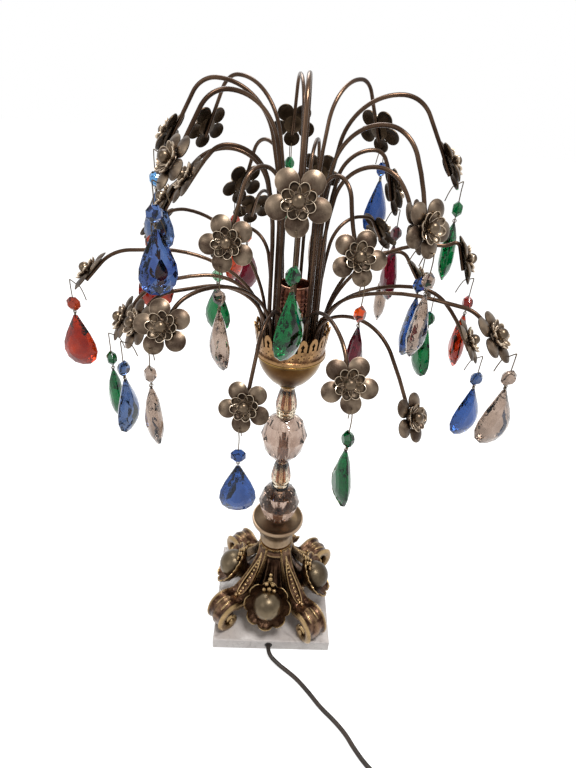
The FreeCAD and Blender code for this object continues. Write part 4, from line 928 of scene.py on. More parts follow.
@dataclass
class Studio:
    """White floor, white surroundings and soft lamps.

    Attributes:
        glow: The floor's own light for the camera, mirrors and glass.
        grey: The floor's colour under the lamps, which sets how dark the shadow is.
        half: Half the floor's width, in metres.
        fill: Strength of the surroundings on dull surfaces.
        aim: Height that the lamps look at, in metres.
        lamps: Place, size and power of each lamp, in metres and watts.
    """

    glow: float = 0.8
    grey: float = 0.5
    half: float = 6.0
    fill: float = 0.38
    aim: float = 0.3
    lamps: tuple[tuple[tuple[float, float, float], float, float], ...] = (
        ((0.3, -0.5, 1.9), 0.45, 27.0), ((-1.1, -0.9, 1.1), 0.7, 3.5), ((-0.3, 0.9, 1.5), 0.6, 8.0))

    def seen(self, graph: Graph) -> bpy.types.NodeSocket:
        """Gives 1 for rays of the camera, of mirrors and of glass.

        Args:
            graph: The node tree that needs it.

        Returns:
            The number.
        """
        rays = graph.add("LightPath").outputs
        both = graph.sum_up("MAXIMUM", rays["Is Camera Ray"], rays["Is Glossy Ray"])
        return graph.sum_up("MAXIMUM", both, rays["Is Transmission Ray"])

    def surroundings(self) -> None:
        """Makes the white world, which is dimmer for dull surfaces than it looks."""
        world = bpy.data.worlds.new("white")
        graph = Graph(emptied(world))
        strength = graph.add("MapRange", {0: self.seen(graph), 1: 0.0, 2: 1.0, 3: self.fill, 4: 1.0}).outputs[0]
        sky = graph.add("Background", {"Color": (1.0, 1.0, 1.0, 1.0), "Strength": strength})
        graph.add("OutputWorld", {"Surface": sky.outputs[0]})
        bpy.context.scene.world = world

    def floor(self) -> None:
        """Makes the white floor, which keeps the lamp's shadow."""
        material = bpy.data.materials.new("floor_white")
        graph = Graph(emptied(material))
        glow = graph.sum_up("MULTIPLY", self.seen(graph), self.glow)
        shader = graph.add("BsdfPrincipled", {"Base Color": (self.grey, self.grey, self.grey, 1.0), "Roughness": 0.9,
                                              "Emission Color": (1.0, 1.0, 1.0, 1.0), "Emission Strength": glow,
                                              "Specular IOR Level": 0.1})
        graph.add("OutputMaterial", {"Surface": shader.outputs[0]})
        bm = bmesh.new()
        bmesh.ops.create_grid(bm, x_segments=2, y_segments=2, size=self.half)
        mesh = bpy.data.meshes.new("floor")
        bm.to_mesh(mesh)
        bm.free()
        mesh.materials.append(material)
        shown("floor", mesh)

    def lights(self) -> None:
        """Makes the soft lamps."""
        for at, (spot, size, power) in enumerate(self.lamps):
            data = bpy.data.lights.new(f"lamp_{at}", "AREA")
            data.size, data.energy = size, power
            aim = (Vector((0.0, 0.0, self.aim)) - Vector(spot)).to_track_quat("-Z", "Y")
            shown(f"lamp_{at}", data).matrix_world = Matrix.Translation(spot) @ aim.to_matrix().to_4x4()

    def build(self) -> None:
        """Sets the view and makes the world, the floor and the lamps."""
        bpy.context.scene.view_settings.view_transform = "Standard"
        self.surroundings()
        self.floor()
        self.lights()


# Base


@dataclass
class Foot:
    """The cast foot: a fluted bell, four scroll feet and four shells with balls.

    Attributes:
        marble_top: Height of the plinth's top.
        neck_top: Height of the foot's neck.
        spine: Reach, height above the marble, half width and thickness along a scroll foot.
        turn: Degrees that the foot stands turned.
        ball_reach: Distance of a shell's ball from the stem.
        ball_height: Height of its middle above the marble.
        ball_radius: Radius of the ball.
        shell_tilt: Degrees that a shell looks upwards.
        lobes: Scallops of a shell.
        flutes: Flutes of the bell.
        flute_depth: Depth of a flute, as a share of the radius.
        bore: Radius of the hole for the pipe.
        eye: Reach, height above the marble, distance aside and radius of a scroll's end ball.
    """

    marble_top: float = 17.0
    neck_top: float = 117.0
    spine: tuple[tuple[float, float, float, float], ...] = (
        (17.5, 97, 7.5, 5), (19, 84, 7.5, 6), (25, 66, 8.5, 8), (36, 47, 11, 10), (50, 32, 14, 11),
        (60, 31.5, 15, 11), (70, 35, 15.2, 10.5), (79.5, 31, 15.2, 10), (84.5, 22, 15, 9.5), (83.5, 11.5, 14.6, 9),
        (77.5, 5.2, 14, 8.4), (70.5, 4.9, 13.4, 7.6), (66.3, 9.6, 12.8, 6.8), (69, 15.2, 12.2, 6),
        (74.4, 14.4, 11.6, 5.2), (74.8, 10.2, 11, 4.6))
    turn: float = -4.5
    ball_reach: float = 52.0
    ball_height: float = 43.0
    ball_radius: float = 17.5
    shell_tilt: float = 38.0
    lobes: int = 8
    flutes: int = 16
    flute_depth: float = 0.055
    bore: float = 5.4
    eye: tuple[float, float, float, float] = (71.0, 10.4, 11.6, 4.3)

    def leg(self) -> bpy.types.Mesh:
        """Makes one scroll foot along +X."""
        section = [(-1.0, 0.0), (-0.96, 0.40), (-0.82, 0.60), (-0.64, 0.36), (-0.32, 0.38), (0.0, 0.56), (0.32, 0.38),
                   (0.64, 0.36), (0.82, 0.60), (0.96, 0.40), (1.0, 0.0), (0.88, -0.42), (0.45, -0.5), (-0.45, -0.5),
                   (-0.88, -0.42)]
        line = flowing(self.spine, 4)
        path = [Vector((row[0], 0.0, row[1] + self.marble_top)) for row in line]
        bm = bmesh.new()
        swept(bm, section, path, [(row[2], row[3]) for row in line], Vector((0.0, 1.0, 0.0)))
        self.leaf(bm, path, line)
        reach, height, aside, radius = self.eye
        for side in (-1.0, 1.0):
            add_ball(bm, Vector((reach, side * aside, height + self.marble_top)), radius, 14, (1.0, 0.8, 1.0))
            self.plumes(bm, side)
        bmesh.ops.recalc_face_normals(bm, faces=bm.faces)
        return pattern(bm)

    def leaf(self, bm: bmesh.types.BMesh, path: Sequence[Vector], line: Sequence[Vector]) -> None:
        """Adds the long leaf on the strap: an outline, a row of beads and a ball at its tip.

        Args:
            bm: Takes the shapes.
            path: The foot's centre line.
            line: The rows that the centre line comes from.
        """
        first, last = 3, 18
        outs = []
        for at in range(first, last + 1):
            ahead = (path[at + 1] - path[at - 1]).normalized()
            out = Vector((-ahead.z, 0.0, ahead.x))
            outs.append(path[at] + out * (line[at][3] * 0.47))
        count = len(outs) - 1
        for side in (-1.0, 1.0):
            bulge = [side * 5.6 * math.sin(math.pi * (step / count) ** 1.5) for step in range(count + 1)]
            edge = [spot + Vector((0.0, aside, 0.4)) for spot, aside in zip(outs, bulge)]
            swept(bm, round_section(6), edge, [(0.9, 0.9)] * len(edge), Vector((0.0, 1.0, 0.0)))
        for step in range(2, count):
            share = step / count
            add_ball(bm, outs[step] + Vector((0.3, 0.0, 0.5)), 1.3 + 0.8 * share, 10, (1.0, 1.3, 0.9))
        add_ball(bm, outs[-1] + Vector((2.0, 0.0, 1.4)), 2.9, 14)

    def plumes(self, bm: bmesh.types.BMesh, side: float) -> None:
        """Adds the leaf ridges that curl over one side of the knee.

        Args:
            bm: Takes the shapes.
            side: -1 or 1.
        """
        top = self.marble_top
        for start, spread, tall, thick in ((52.0, 9.0, 31.5, 1.9), (57.0, 12.2, 35.0, 2.1), (61.0, 5.0, 38.0, 2.0)):
            crest = top + tall
            ridge = [(start, side * spread * 0.55, crest - 2.5), (start + 9, side * spread * 0.8, crest),
                     (start + 18, side * spread, crest - 3.0), (start + 24, side * spread * 1.08, crest - 10)]
            rows = flowing(ridge, 5)
            swell = [math.sin(math.pi * (0.12 + 0.80 * at / (len(rows) - 1))) for at in range(len(rows))]
            sizes = [(thick * share * 1.1, thick * share * 0.8) for share in swell]
            swept(bm, round_section(8), rows, sizes, Vector((0.0, 1.0, 0.0)))

    def shell(self) -> bpy.types.Mesh:
        """Makes one scalloped shell with its buds, facing +X."""
        rows = [(0.0, -30.0), (9.0, -30.0), (10.5, -14.0), (15.0, -7.0), (20.5, -5.0), (24.8, -2.0), (27.4, 2.4),
                (28.0, 4.4), (27.2, 5.0), (25.4, 3.0), (21.8, 0.4), (18.0, -1.6), (14.0, -2.4), (0.0, -3.0)]
        bm = turned(rows, 96)
        for vert in bm.verts:
            radius = math.hypot(vert.co.x, vert.co.y)
            angle = math.atan2(vert.co.y, vert.co.x)
            crest = abs(math.cos(angle * self.lobes / 2))
            reach = min(1.0, radius / 27.5) ** 3
            narrow = 1.0 - 0.13 * reach * (1.0 - crest) ** 1.5
            vert.co.x *= narrow
            vert.co.y *= narrow
            vert.co.z += reach * (1.7 * crest - 1.1 + 0.5 * math.cos(angle * self.lobes * 3))
        tilt = Matrix.Rotation(math.radians(90 - self.shell_tilt), 4, "Y")
        bmesh.ops.transform(bm, matrix=tilt, verts=bm.verts)
        for height, aside, radius in ((18.5, 0.0, 3.2), (17.6, 6.0, 2.7), (17.6, -6.0, 2.7), (23.5, 3.6, 2.9),
                                      (23.5, -3.6, 2.9), (28.5, 0.0, 3.0), (33.0, 0.0, 2.2)):
            out = tilt @ Vector((0.0, aside, 0.0)) + Vector((4.0 - height * 0.62, 0.0, height))
            add_ball(bm, out, radius, 12, (0.8, 0.95, 1.2))
        bmesh.ops.translate(bm, vec=(self.ball_reach, 0.0, self.marble_top + self.ball_height), verts=bm.verts)
        return pattern(bm)

    def bell(self) -> bmesh.types.BMesh:
        """Makes the fluted bell with its neck rings."""
        top, low = self.neck_top, self.marble_top
        outside = [(38.5, 22), (42.0, 22), (42.2, 27), (38.5, 33), (30.0, 44), (23.5, 57), (20.0, 70), (18.6, 82),
                   (18.4, 86), (20.2, 87.5), (20.4, 90), (18.8, 91.5), (18.4, 95), (19.6, 97)]
        inside = [(self.bore, 72), (14.0, 68), (24.0, 42)]
        bm = turned(lifted(outside, low) + [(19.6, top), (self.bore, top)] + lifted(inside, low), 96, closed=True)
        for vert in bm.verts:
            low_share = (top - 12 - vert.co.z) / (top - 12 - low - 22)
            radius = math.hypot(vert.co.x, vert.co.y)
            if 0.0 < low_share and radius > 15.0:
                wave = math.cos(self.flutes * math.atan2(vert.co.y, vert.co.x))
                depth = self.flute_depth * math.sin(math.pi * min(1.0, low_share)) * wave
                vert.co.x *= 1 + depth
                vert.co.y *= 1 + depth
        return bm

    def dish(self) -> bmesh.types.BMesh:
        """Makes the dish that carries the lower glass ball."""
        rows = [(self.bore, 0.0), (16.0, 0.0), (18.6, 1.6), (19.4, 4.0), (17.6, 7.0), (17.2, 12.0), (18.4, 17.0),
                (21.2, 23.0), (25.4, 28.5), (28.8, 31.6), (29.9, 33.6), (30.0, 36.0), (29.2, 37.8), (28.2, 37.8),
                (27.2, 36.2), (22.0, 33.8), (12.0, 32.9), (self.bore, 32.9)]
        return turned(lifted(rows, self.neck_top), 96, closed=True)

    def build(self) -> None:
        """Makes and places the foot's pieces."""
        leg, shell = self.leg(), self.shell()
        casting = self.bell()
        balls = bmesh.new()
        for step in range(4):
            quarter = Matrix.Rotation(math.radians(self.turn + 90 * step), 4, "Z")
            add_copy(casting, leg, quarter @ Matrix.Rotation(math.pi / 4, 4, "Z"))
            add_copy(casting, shell, quarter)
            centre = quarter @ Vector((self.ball_reach, 0.0, self.marble_top + self.ball_height))
            add_ball(balls, centre, self.ball_radius, 40)
        place("foot_casting", casting, CAST, "aged_brass", ["cast_foot"], crease=60.0)
        place("foot_balls", balls, POLISHED, "aged_brass")
        place("foot_saucer", self.dish(), DISH, "aged_brass", ["foot_dish"], crease=50.0)
        dress(["marble_plinth"], MARBLE)
        dress(["base_felt"], GREEN_FELT)
        dress(["bottom_nut", "bottom_washer"], STEEL)


# Stem


@dataclass
class Stem:
    """Glass balls and necks, cup, gallery and arm plate.

    Attributes:
        cup_bottom: Height of the cup's underside.
        cup_tall: Height of the cup.
        cup_radius: Outer radius of the cup.
        lower_neck: Foot and height of the lower glass neck.
        upper_neck: Foot and height of the upper glass neck.
        belly: Radius of a neck at its widest.
        panels: Flat sides of a neck.
        bore: Radius of the hole for the pipe.
    """

    cup_bottom: float = 336.0
    cup_tall: float = 41.0
    cup_radius: float = 30.5
    lower_neck: tuple[float, float] = (201.0, 42.0)
    upper_neck: tuple[float, float] = (299.0, 37.0)
    belly: float = 11.0
    panels: int = 8
    bore: float = 5.2

    def cup(self) -> bmesh.types.BMesh:
        """Makes the cup with its ledge and bead mouldings."""
        low, wide = self.cup_bottom, self.cup_radius
        rim = low + self.cup_tall
        outside = [(self.bore, 0.0), (7.6, 0.0), (9.2, 0.5), (9.8, 1.6), (9.4, 2.6), (13.5, 5.0), (18.5, 9.2),
                   (23.0, 14.6), (26.8, 20.4), (29.2, 26.0), (30.3, 30.6), (wide, 33.4), (31.2, 34.2), (31.2, 35.4),
                   (30.7, 36.0), (32.8, 36.2), (33.6, 36.8), (33.6, 37.6), (32.8, 38.0), (wide, 38.0)]
        lip = [(wide, rim - 0.4), (wide - 0.4, rim), (wide - 1.2, rim), (wide - 1.6, rim - 0.4)]
        inside = [(wide - 1.6, 30.0), (26.0, 20.0), (18.0, 10.0), (9.0, 4.0), (self.bore, 4.0)]
        return turned(lifted(outside, low) + lip + lifted(inside, low), 96, closed=True)

    def neck(self, base: float, tall: float) -> bmesh.types.BMesh:
        """Makes a glass neck: bright rings at its foot and flat panels above them.

        Args:
            base: Height of its foot.
            tall: Its height.

        Returns:
            The shape.
        """
        rings = [(0.76, 0.0), (0.84, 0.02), (0.88, 0.05), (0.84, 0.08), (0.78, 0.10), (0.86, 0.12), (0.92, 0.155),
                 (0.88, 0.19), (0.80, 0.215), (0.90, 0.24), (0.97, 0.28)]
        panels = [(1.0, 0.34), (0.99, 0.42), (0.94, 0.52), (0.84, 0.66), (0.72, 0.80), (0.62, 0.89)]
        collar = [(0.60, 0.91), (0.65, 0.93), (0.65, 0.97), (0.60, 1.0)]
        rows = [(self.belly * radius, base + tall * share) for radius, share in rings + panels + collar]
        bm = turned([(self.bore, base)] + rows + [(self.bore, base + tall)], 96, closed=True)
        low, high = base + tall * 0.31, base + tall * 0.90
        sector = 2 * math.pi / self.panels
        for vert in bm.verts:
            if low < vert.co.z < high and math.hypot(vert.co.x, vert.co.y) > 5.4:
                off = (math.atan2(vert.co.y, vert.co.x) % sector) - sector / 2
                flat = math.cos(sector / 2) / math.cos(off)
                vert.co.x *= flat
                vert.co.y *= flat
        for face in bm.faces:
            spot = face.calc_center_median()
            off = (math.atan2(spot.y, spot.x) % sector) / sector
            if low < spot.z < high and 0.22 < off < 0.78 and spot.xy.length > 5.8:
                face.material_index = 1
        return bm

    def build(self) -> None:
        """Makes the cup and the necks and dresses what the CAD model gives."""
        place("cup", self.cup(), CUP, "aged_brass", ["brass_cup"], crease=32.0)
        for name, base, tall in (("lower_neck", *self.lower_neck), ("upper_neck", *self.upper_neck)):
            place(name, self.neck(base, tall), NECK, "stem_glass", [name.replace("_", "_glass_")], crease=18.0,
                  lining=PANEL)
        dress(["lower_glass_ball", "upper_glass_ball"], STEM)
        dress(["stem_pipe"], PIPE)
        dress(["pierced_gallery"], GALLERY)
        dress(["arm_plate"], LIP)
        dress(["arm_plate_nut"], STEEL)


@dataclass
class Socket:
    """The lampholder between the arms.

    Attributes:
        base: Height of the shell's bottom.
        tall: Height of the shell.
        bore: Inner radius of the shell.
        root: Outer radius between the thread's ridges.
        crest: Outer radius on them.
        pitch: From ridge to ridge.
        turns: Ridges of the thread.
    """

    base: float = 413.5
    tall: float = 28.0
    bore: float = 13.4
    root: float = 14.1
    crest: float = 14.8
    pitch: float = 4.0
    turns: int = 4

    def shell(self) -> bmesh.types.BMesh:
        """Makes the threaded sheet shell."""
        outer = [(8.0, self.base), (self.root, self.base), (self.root, self.base + 4.0)]
        inner = [(8.0, self.base + 0.7), (self.bore, self.base + 0.7), (self.bore, self.base + 4.0)]
        for turn in range(self.turns):
            level = self.base + 4.6 + turn * self.pitch
            outer += lifted([(self.root, 0.0), (self.crest, 1.4), (self.crest, 1.9), (self.root, 3.4)], level)
            inner += lifted([(self.bore, 0.0), (self.bore + 0.6, 1.4), (self.bore + 0.6, 1.9), (self.bore, 3.4)], level)
        top = self.base + self.tall
        outer += [(self.root, top - 1.4), (14.7, top - 0.8), (self.crest, top - 0.3), (14.3, top)]
        return turned(outer + [(self.bore + 0.2, top), (self.bore, top - 0.6)] + inner[::-1], 64, closed=True)

    def build(self) -> None:
        """Makes the shell and dresses the rest."""
        place("socket_screw_shell", self.shell(), COPPER, "copper", ["socket_shell"], crease=50.0)
        dress(["socket_cap"], LIP)
        dress(["socket_contact"], COPPER)
        dress(["socket_insulator", "supply_wires"], PHENOLIC)


# Arms, flowers and drops


class Tier(Enum):
    """Rings in which the arms stand, with the reach of their feet."""

    TOP = ("top_arms", 18.0)
    MIDDLE = ("middle_arms", 22.5)
    LOW = ("low_arms", 27.5)


@dataclass(frozen=True)
class Arm:
    """One bent arm in the upright plane at its azimuth, with its flower and drop.

    Attributes:
        name: Name of the arm and, after drop_, of its drop.
        tier: Ring in which it stands.
        azimuth: Degrees from +X.
        peak: Reach and height of its highest point.
        ball: Reach and height of its flower's ball.
        lean: Degrees that its end leans from plumb.
        hook: Length of the hook's leg, 0 without a drop.
        twist: Degrees that the prism is turned from square across the arm.
        turn: Degrees that the flower is turned about the arm's end.
        prism: Colour of the prism.
        bead: Colour of the octagon bead.
    """

    name: str
    tier: Tier
    azimuth: float
    peak: tuple[float, float]
    ball: tuple[float, float]
    lean: float
    hook: float = 0.0
    twist: float = 0.0
    prism: Tint = Tint.CLEAR
    bead: Tint = Tint.CLEAR
    turn: float = 0.0

    def at(self, reach: float, height: float) -> Vector:
        """Gives a point in the arm's plane.

        Args:
            reach: Distance from the stem's axis.
            height: Height.

        Returns:
            The point.
        """
        turn = math.radians(self.azimuth)
        return Vector((reach * math.cos(turn), reach * math.sin(turn), height))

    def rod_outward(self) -> Vector:
        """Gives the way that the arm's end faces in the arm's own plane."""
        lean = math.radians(self.lean)
        return self.at(math.cos(lean), math.sin(lean))

    def down(self) -> Vector:
        """Gives the way that the arm's end runs."""
        lean = math.radians(self.lean)
        return self.at(math.sin(lean), -math.cos(lean))

    def outward(self) -> Vector:
        """Gives the way that the flower faces."""
        return Matrix.Rotation(math.radians(-self.turn), 3, self.down()) @ self.rod_outward()

    def side(self) -> Vector:
        """Gives the direction across the flower."""
        return self.outward().cross(self.down())

    def facing(self) -> Matrix:
        """Gives the turn that makes a stone's broad side face the drop's own way."""
        return Matrix.Rotation(math.radians(self.azimuth + self.twist - 90), 4, "Z")

    def end(self, depth: float) -> Vector:
        """Gives the point on the rod's axis behind the flower.

        Args:
            depth: From the ball's middle to the rod's axis.

        Returns:
            The point.
        """
        return self.at(*self.ball) - self.rod_outward() * depth


# The same arms as the part's, but right_front_low bends 3 mm lower, clear of the bead beside it when that swings.
ARMS = (
    Arm("back_left_high", Tier.TOP, 172, (71, 592), (115, 553), 30, 17, 79, Tint.GREY_BLUE, Tint.LIGHT_BLUE),
    Arm("left_bare", Tier.TOP, 140, (77, 595), (122, 556), 30),
    Arm("front_left_high", Tier.TOP, -145, (67, 586), (114, 545), 30, 16, -88, Tint.COBALT, Tint.COBALT),
    Arm("back_high", Tier.TOP, 98, (68, 599), (103, 561), 25, 16, 50, Tint.GREEN, Tint.GREEN),
    Arm("back_right_high", Tier.TOP, 50, (63, 598), (103, 563), 30, 15, 78, Tint.BLUE, Tint.BLUE),
    Arm("right_high", Tier.TOP, 3, (69, 590), (118, 548), 30, 15.5, -14, Tint.GREEN, Tint.GREEN),
    Arm("front_right_lean", Tier.TOP, -37.6, (68, 572), (117, 514), 15, 14, 4, Tint.CLEAR, Tint.CLEAR, -20),
    Arm("front_high", Tier.TOP, -91, (68, 598), (115, 533), 14, 22, 52, Tint.GREEN, Tint.GREEN),
    Arm("left_mid_inner", Tier.MIDDLE, -164, (60, 550), (95, 528), 35),
    Arm("left_mid_outer", Tier.MIDDLE, -178, (59, 546), (114, 507), 30, 18, -80, Tint.RED, Tint.AMBER),
    Arm("back_left_mid", Tier.MIDDLE, 130, (53, 550), (92, 511), 25, 17, 21, Tint.ORANGE, Tint.ORANGE),
    Arm("back_mid", Tier.MIDDLE, 80, (55, 552), (84, 524), 25, 20, -82, Tint.CLEAR, Tint.CLEAR),
    Arm("front_left_mid", Tier.MIDDLE, -127.8, (50, 540), (90, 493), 22, 17, -18, Tint.CLEAR, Tint.CLEAR, 32),
    Arm("front_right_mid", Tier.MIDDLE, -55.6, (45, 537), (84, 490), 28, 20, 28, Tint.GARNET, Tint.ORANGE, -25),
    Arm("right_mid", Tier.MIDDLE, 12, (55, 551), (81, 523), 15, 14, 0, Tint.GARNET, Tint.GARNET),
    Arm("right_mid_front", Tier.MIDDLE, -29, (62, 544), (102, 510), 20, 22, -4, Tint.BLUE, Tint.BLUE),
    Arm("left_low", Tier.LOW, -172, (112, 467), (178, 450), 42, 16, 78, Tint.RED, Tint.AMBER),
    Arm("left_low_inner", Tier.LOW, -162, (80, 451), (152, 418), 28, 18, 14, Tint.GREEN, Tint.GREEN),
    Arm("left_low_front", Tier.LOW, -148, (85, 449), (146, 428), 28, 18, -46, Tint.GREY_BLUE, Tint.GREY_BLUE),
    Arm("front_left_low", Tier.LOW, -131.9, (101, 458), (143, 442), 38, 15, -18, Tint.CLEAR, Tint.CLEAR, 35),
    Arm("front_low", Tier.LOW, -107.9, (55, 433), (111, 377), 28, 20, 23, Tint.BLUE, Tint.BLUE, 12),
    Arm("front_right_low", Tier.LOW, -71.1, (86, 444), (137, 419), 30, 19, 86, Tint.GREEN, Tint.GREEN, -15),
    Arm("right_front_bare", Tier.LOW, -42, (73, 432), (141, 372), 28),
    Arm("right_front_low", Tier.LOW, -33, (126, 461), (177, 450), 42, 14, -38, Tint.CLEAR, Tint.CLEAR),
    Arm("right_low", Tier.LOW, -15, (105, 455), (158, 419), 32, 16, -50, Tint.BLUE, Tint.GREY_BLUE),
    Arm("right_low_high", Tier.LOW, -6.2, (116, 487), (142.5, 479), 20, 16, 0, Tint.RED, Tint.RED),
    Arm("back_right_low", Tier.LOW, 4, (86, 474), (115, 453), 35, 20, 14, Tint.GREEN, Tint.GREEN),
    Arm("back_right_mid", Tier.LOW, 35, (62, 494), (95, 482), 35, 16, -45, Tint.CLEAR, Tint.CLEAR),
    Arm("back_left_low", Tier.LOW, 115, (80, 503), (122, 482), 35, 17, 15, Tint.GARNET, Tint.ORANGE),
    Arm("left_back_low", Tier.LOW, 159, (110, 488), (148, 474), 40),
    Arm("behind_left_low", Tier.LOW, 145, (56, 478), (86, 459), 30, 16, -81, Tint.GREEN, Tint.PALE_GREEN),
)


@dataclass
class Rods:
    """The bent wires of one tier after another.

    Attributes:
        across: Diameter of the wire.
        base: Height of the arm plate's top.
        rise: Least straight stretch above the plate.
        spread: Height of a bend over its width, at the most.
        before: Straight end above a flower's middle.
        after: Straight end below it.
        depth: From the ball's middle to the wire's axis.
        step: Degrees of a bend between two points of a wire.
    """

    across: float = 3.2
    base: float = 381.0
    rise: float = 14.0
    spread: float = 2.0
    before: float = 12.0
    after: float = 8.0
    depth: float = 7.6
    step: float = 5.0

    def meeting(self, start: Vector, heading: Vector, end: Vector, last: Vector) -> Vector:
        """Gives the point where the two arcs of a bend meet.

        Args:
            start: The bend's first point.
            heading: The way that it leaves it.
            end: The bend's last point.
            last: The way that it arrives there.

        Returns:
            The point.
        """
        chord = end - start
        spread = 2 * (1 - heading.dot(last))
        lean = chord.dot(heading + last)
        reach = (math.sqrt(lean * lean + spread * chord.dot(chord)) - lean) / spread
        return (start + end + (heading - last) * reach) / 2

    def arc(self, start: Vector, heading: Vector, end: Vector) -> list[Vector]:
        """Gives the points of an arc.

        Args:
            start: Its first point.
            heading: The way that it leaves it.
            end: Its last point.

        Returns:
            The points, both ends among them.
        """
        chord = end - start
        half = heading.angle(chord)
        if half < 1e-4:
            return [start, end]
        square = (chord - heading * chord.dot(heading)).normalized()
        pieces = max(1, round(2 * math.degrees(half) / self.step))
        points = []
        for piece in range(pieces + 1):
            turn = half * piece / pieces
            points.append(start + (heading * math.cos(turn) + square * math.sin(turn))
                          * (chord.length * math.sin(turn) / math.sin(half)))
        return points

    def rod(self, curve: bpy.types.Curve, arm: Arm) -> None:
        """Adds one bent wire.

        Args:
            curve: Takes the wire.
            arm: The arm.
        """
        foot = arm.tier.value[1]
        reach, height = arm.peak
        knee = arm.at(foot, max(self.base + self.rise, height - self.spread * (reach - foot)))
        peak, ahead, down = arm.at(reach, height), arm.at(1.0, 0.0), arm.down()
        axis = arm.end(self.depth)
        points = [arm.at(foot, self.base)]
        for start, heading, end, last in ((knee, UP, peak, ahead), (peak, ahead, axis - down * self.before, down)):
            joint = self.meeting(start, heading, end, last)
            points += self.arc(start, heading, joint)[:-1] + self.arc(end, -last, joint)[:0:-1]
        points += [axis - down * self.before, axis + down * self.after]
        spline = curve.splines.new("POLY")
        spline.points.add(len(points) - 1)
        for place, point in zip(spline.points, points):
            place.co = (*(point * MM), 1.0)

    def build(self) -> None:
        """Makes the three tiers of wires."""
        for tier in Tier:
            node = tier.value[0]
            curve = bpy.data.curves.new(node + "_wire", "CURVE")
            curve.dimensions = "3D"
            curve.bevel_depth = self.across / 2 * MM
            curve.bevel_resolution = 3
            curve.use_fill_caps = True
            for arm in ARMS:
                if arm.tier is tier:
                    self.rod(curve, arm)
            curve.materials.append(ROD.material())
            piece = shown(node + "_wire", curve)
            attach(piece, "lamp")
            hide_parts(node)
            LOG.info("%s: %d rods", node, len(curve.splines))


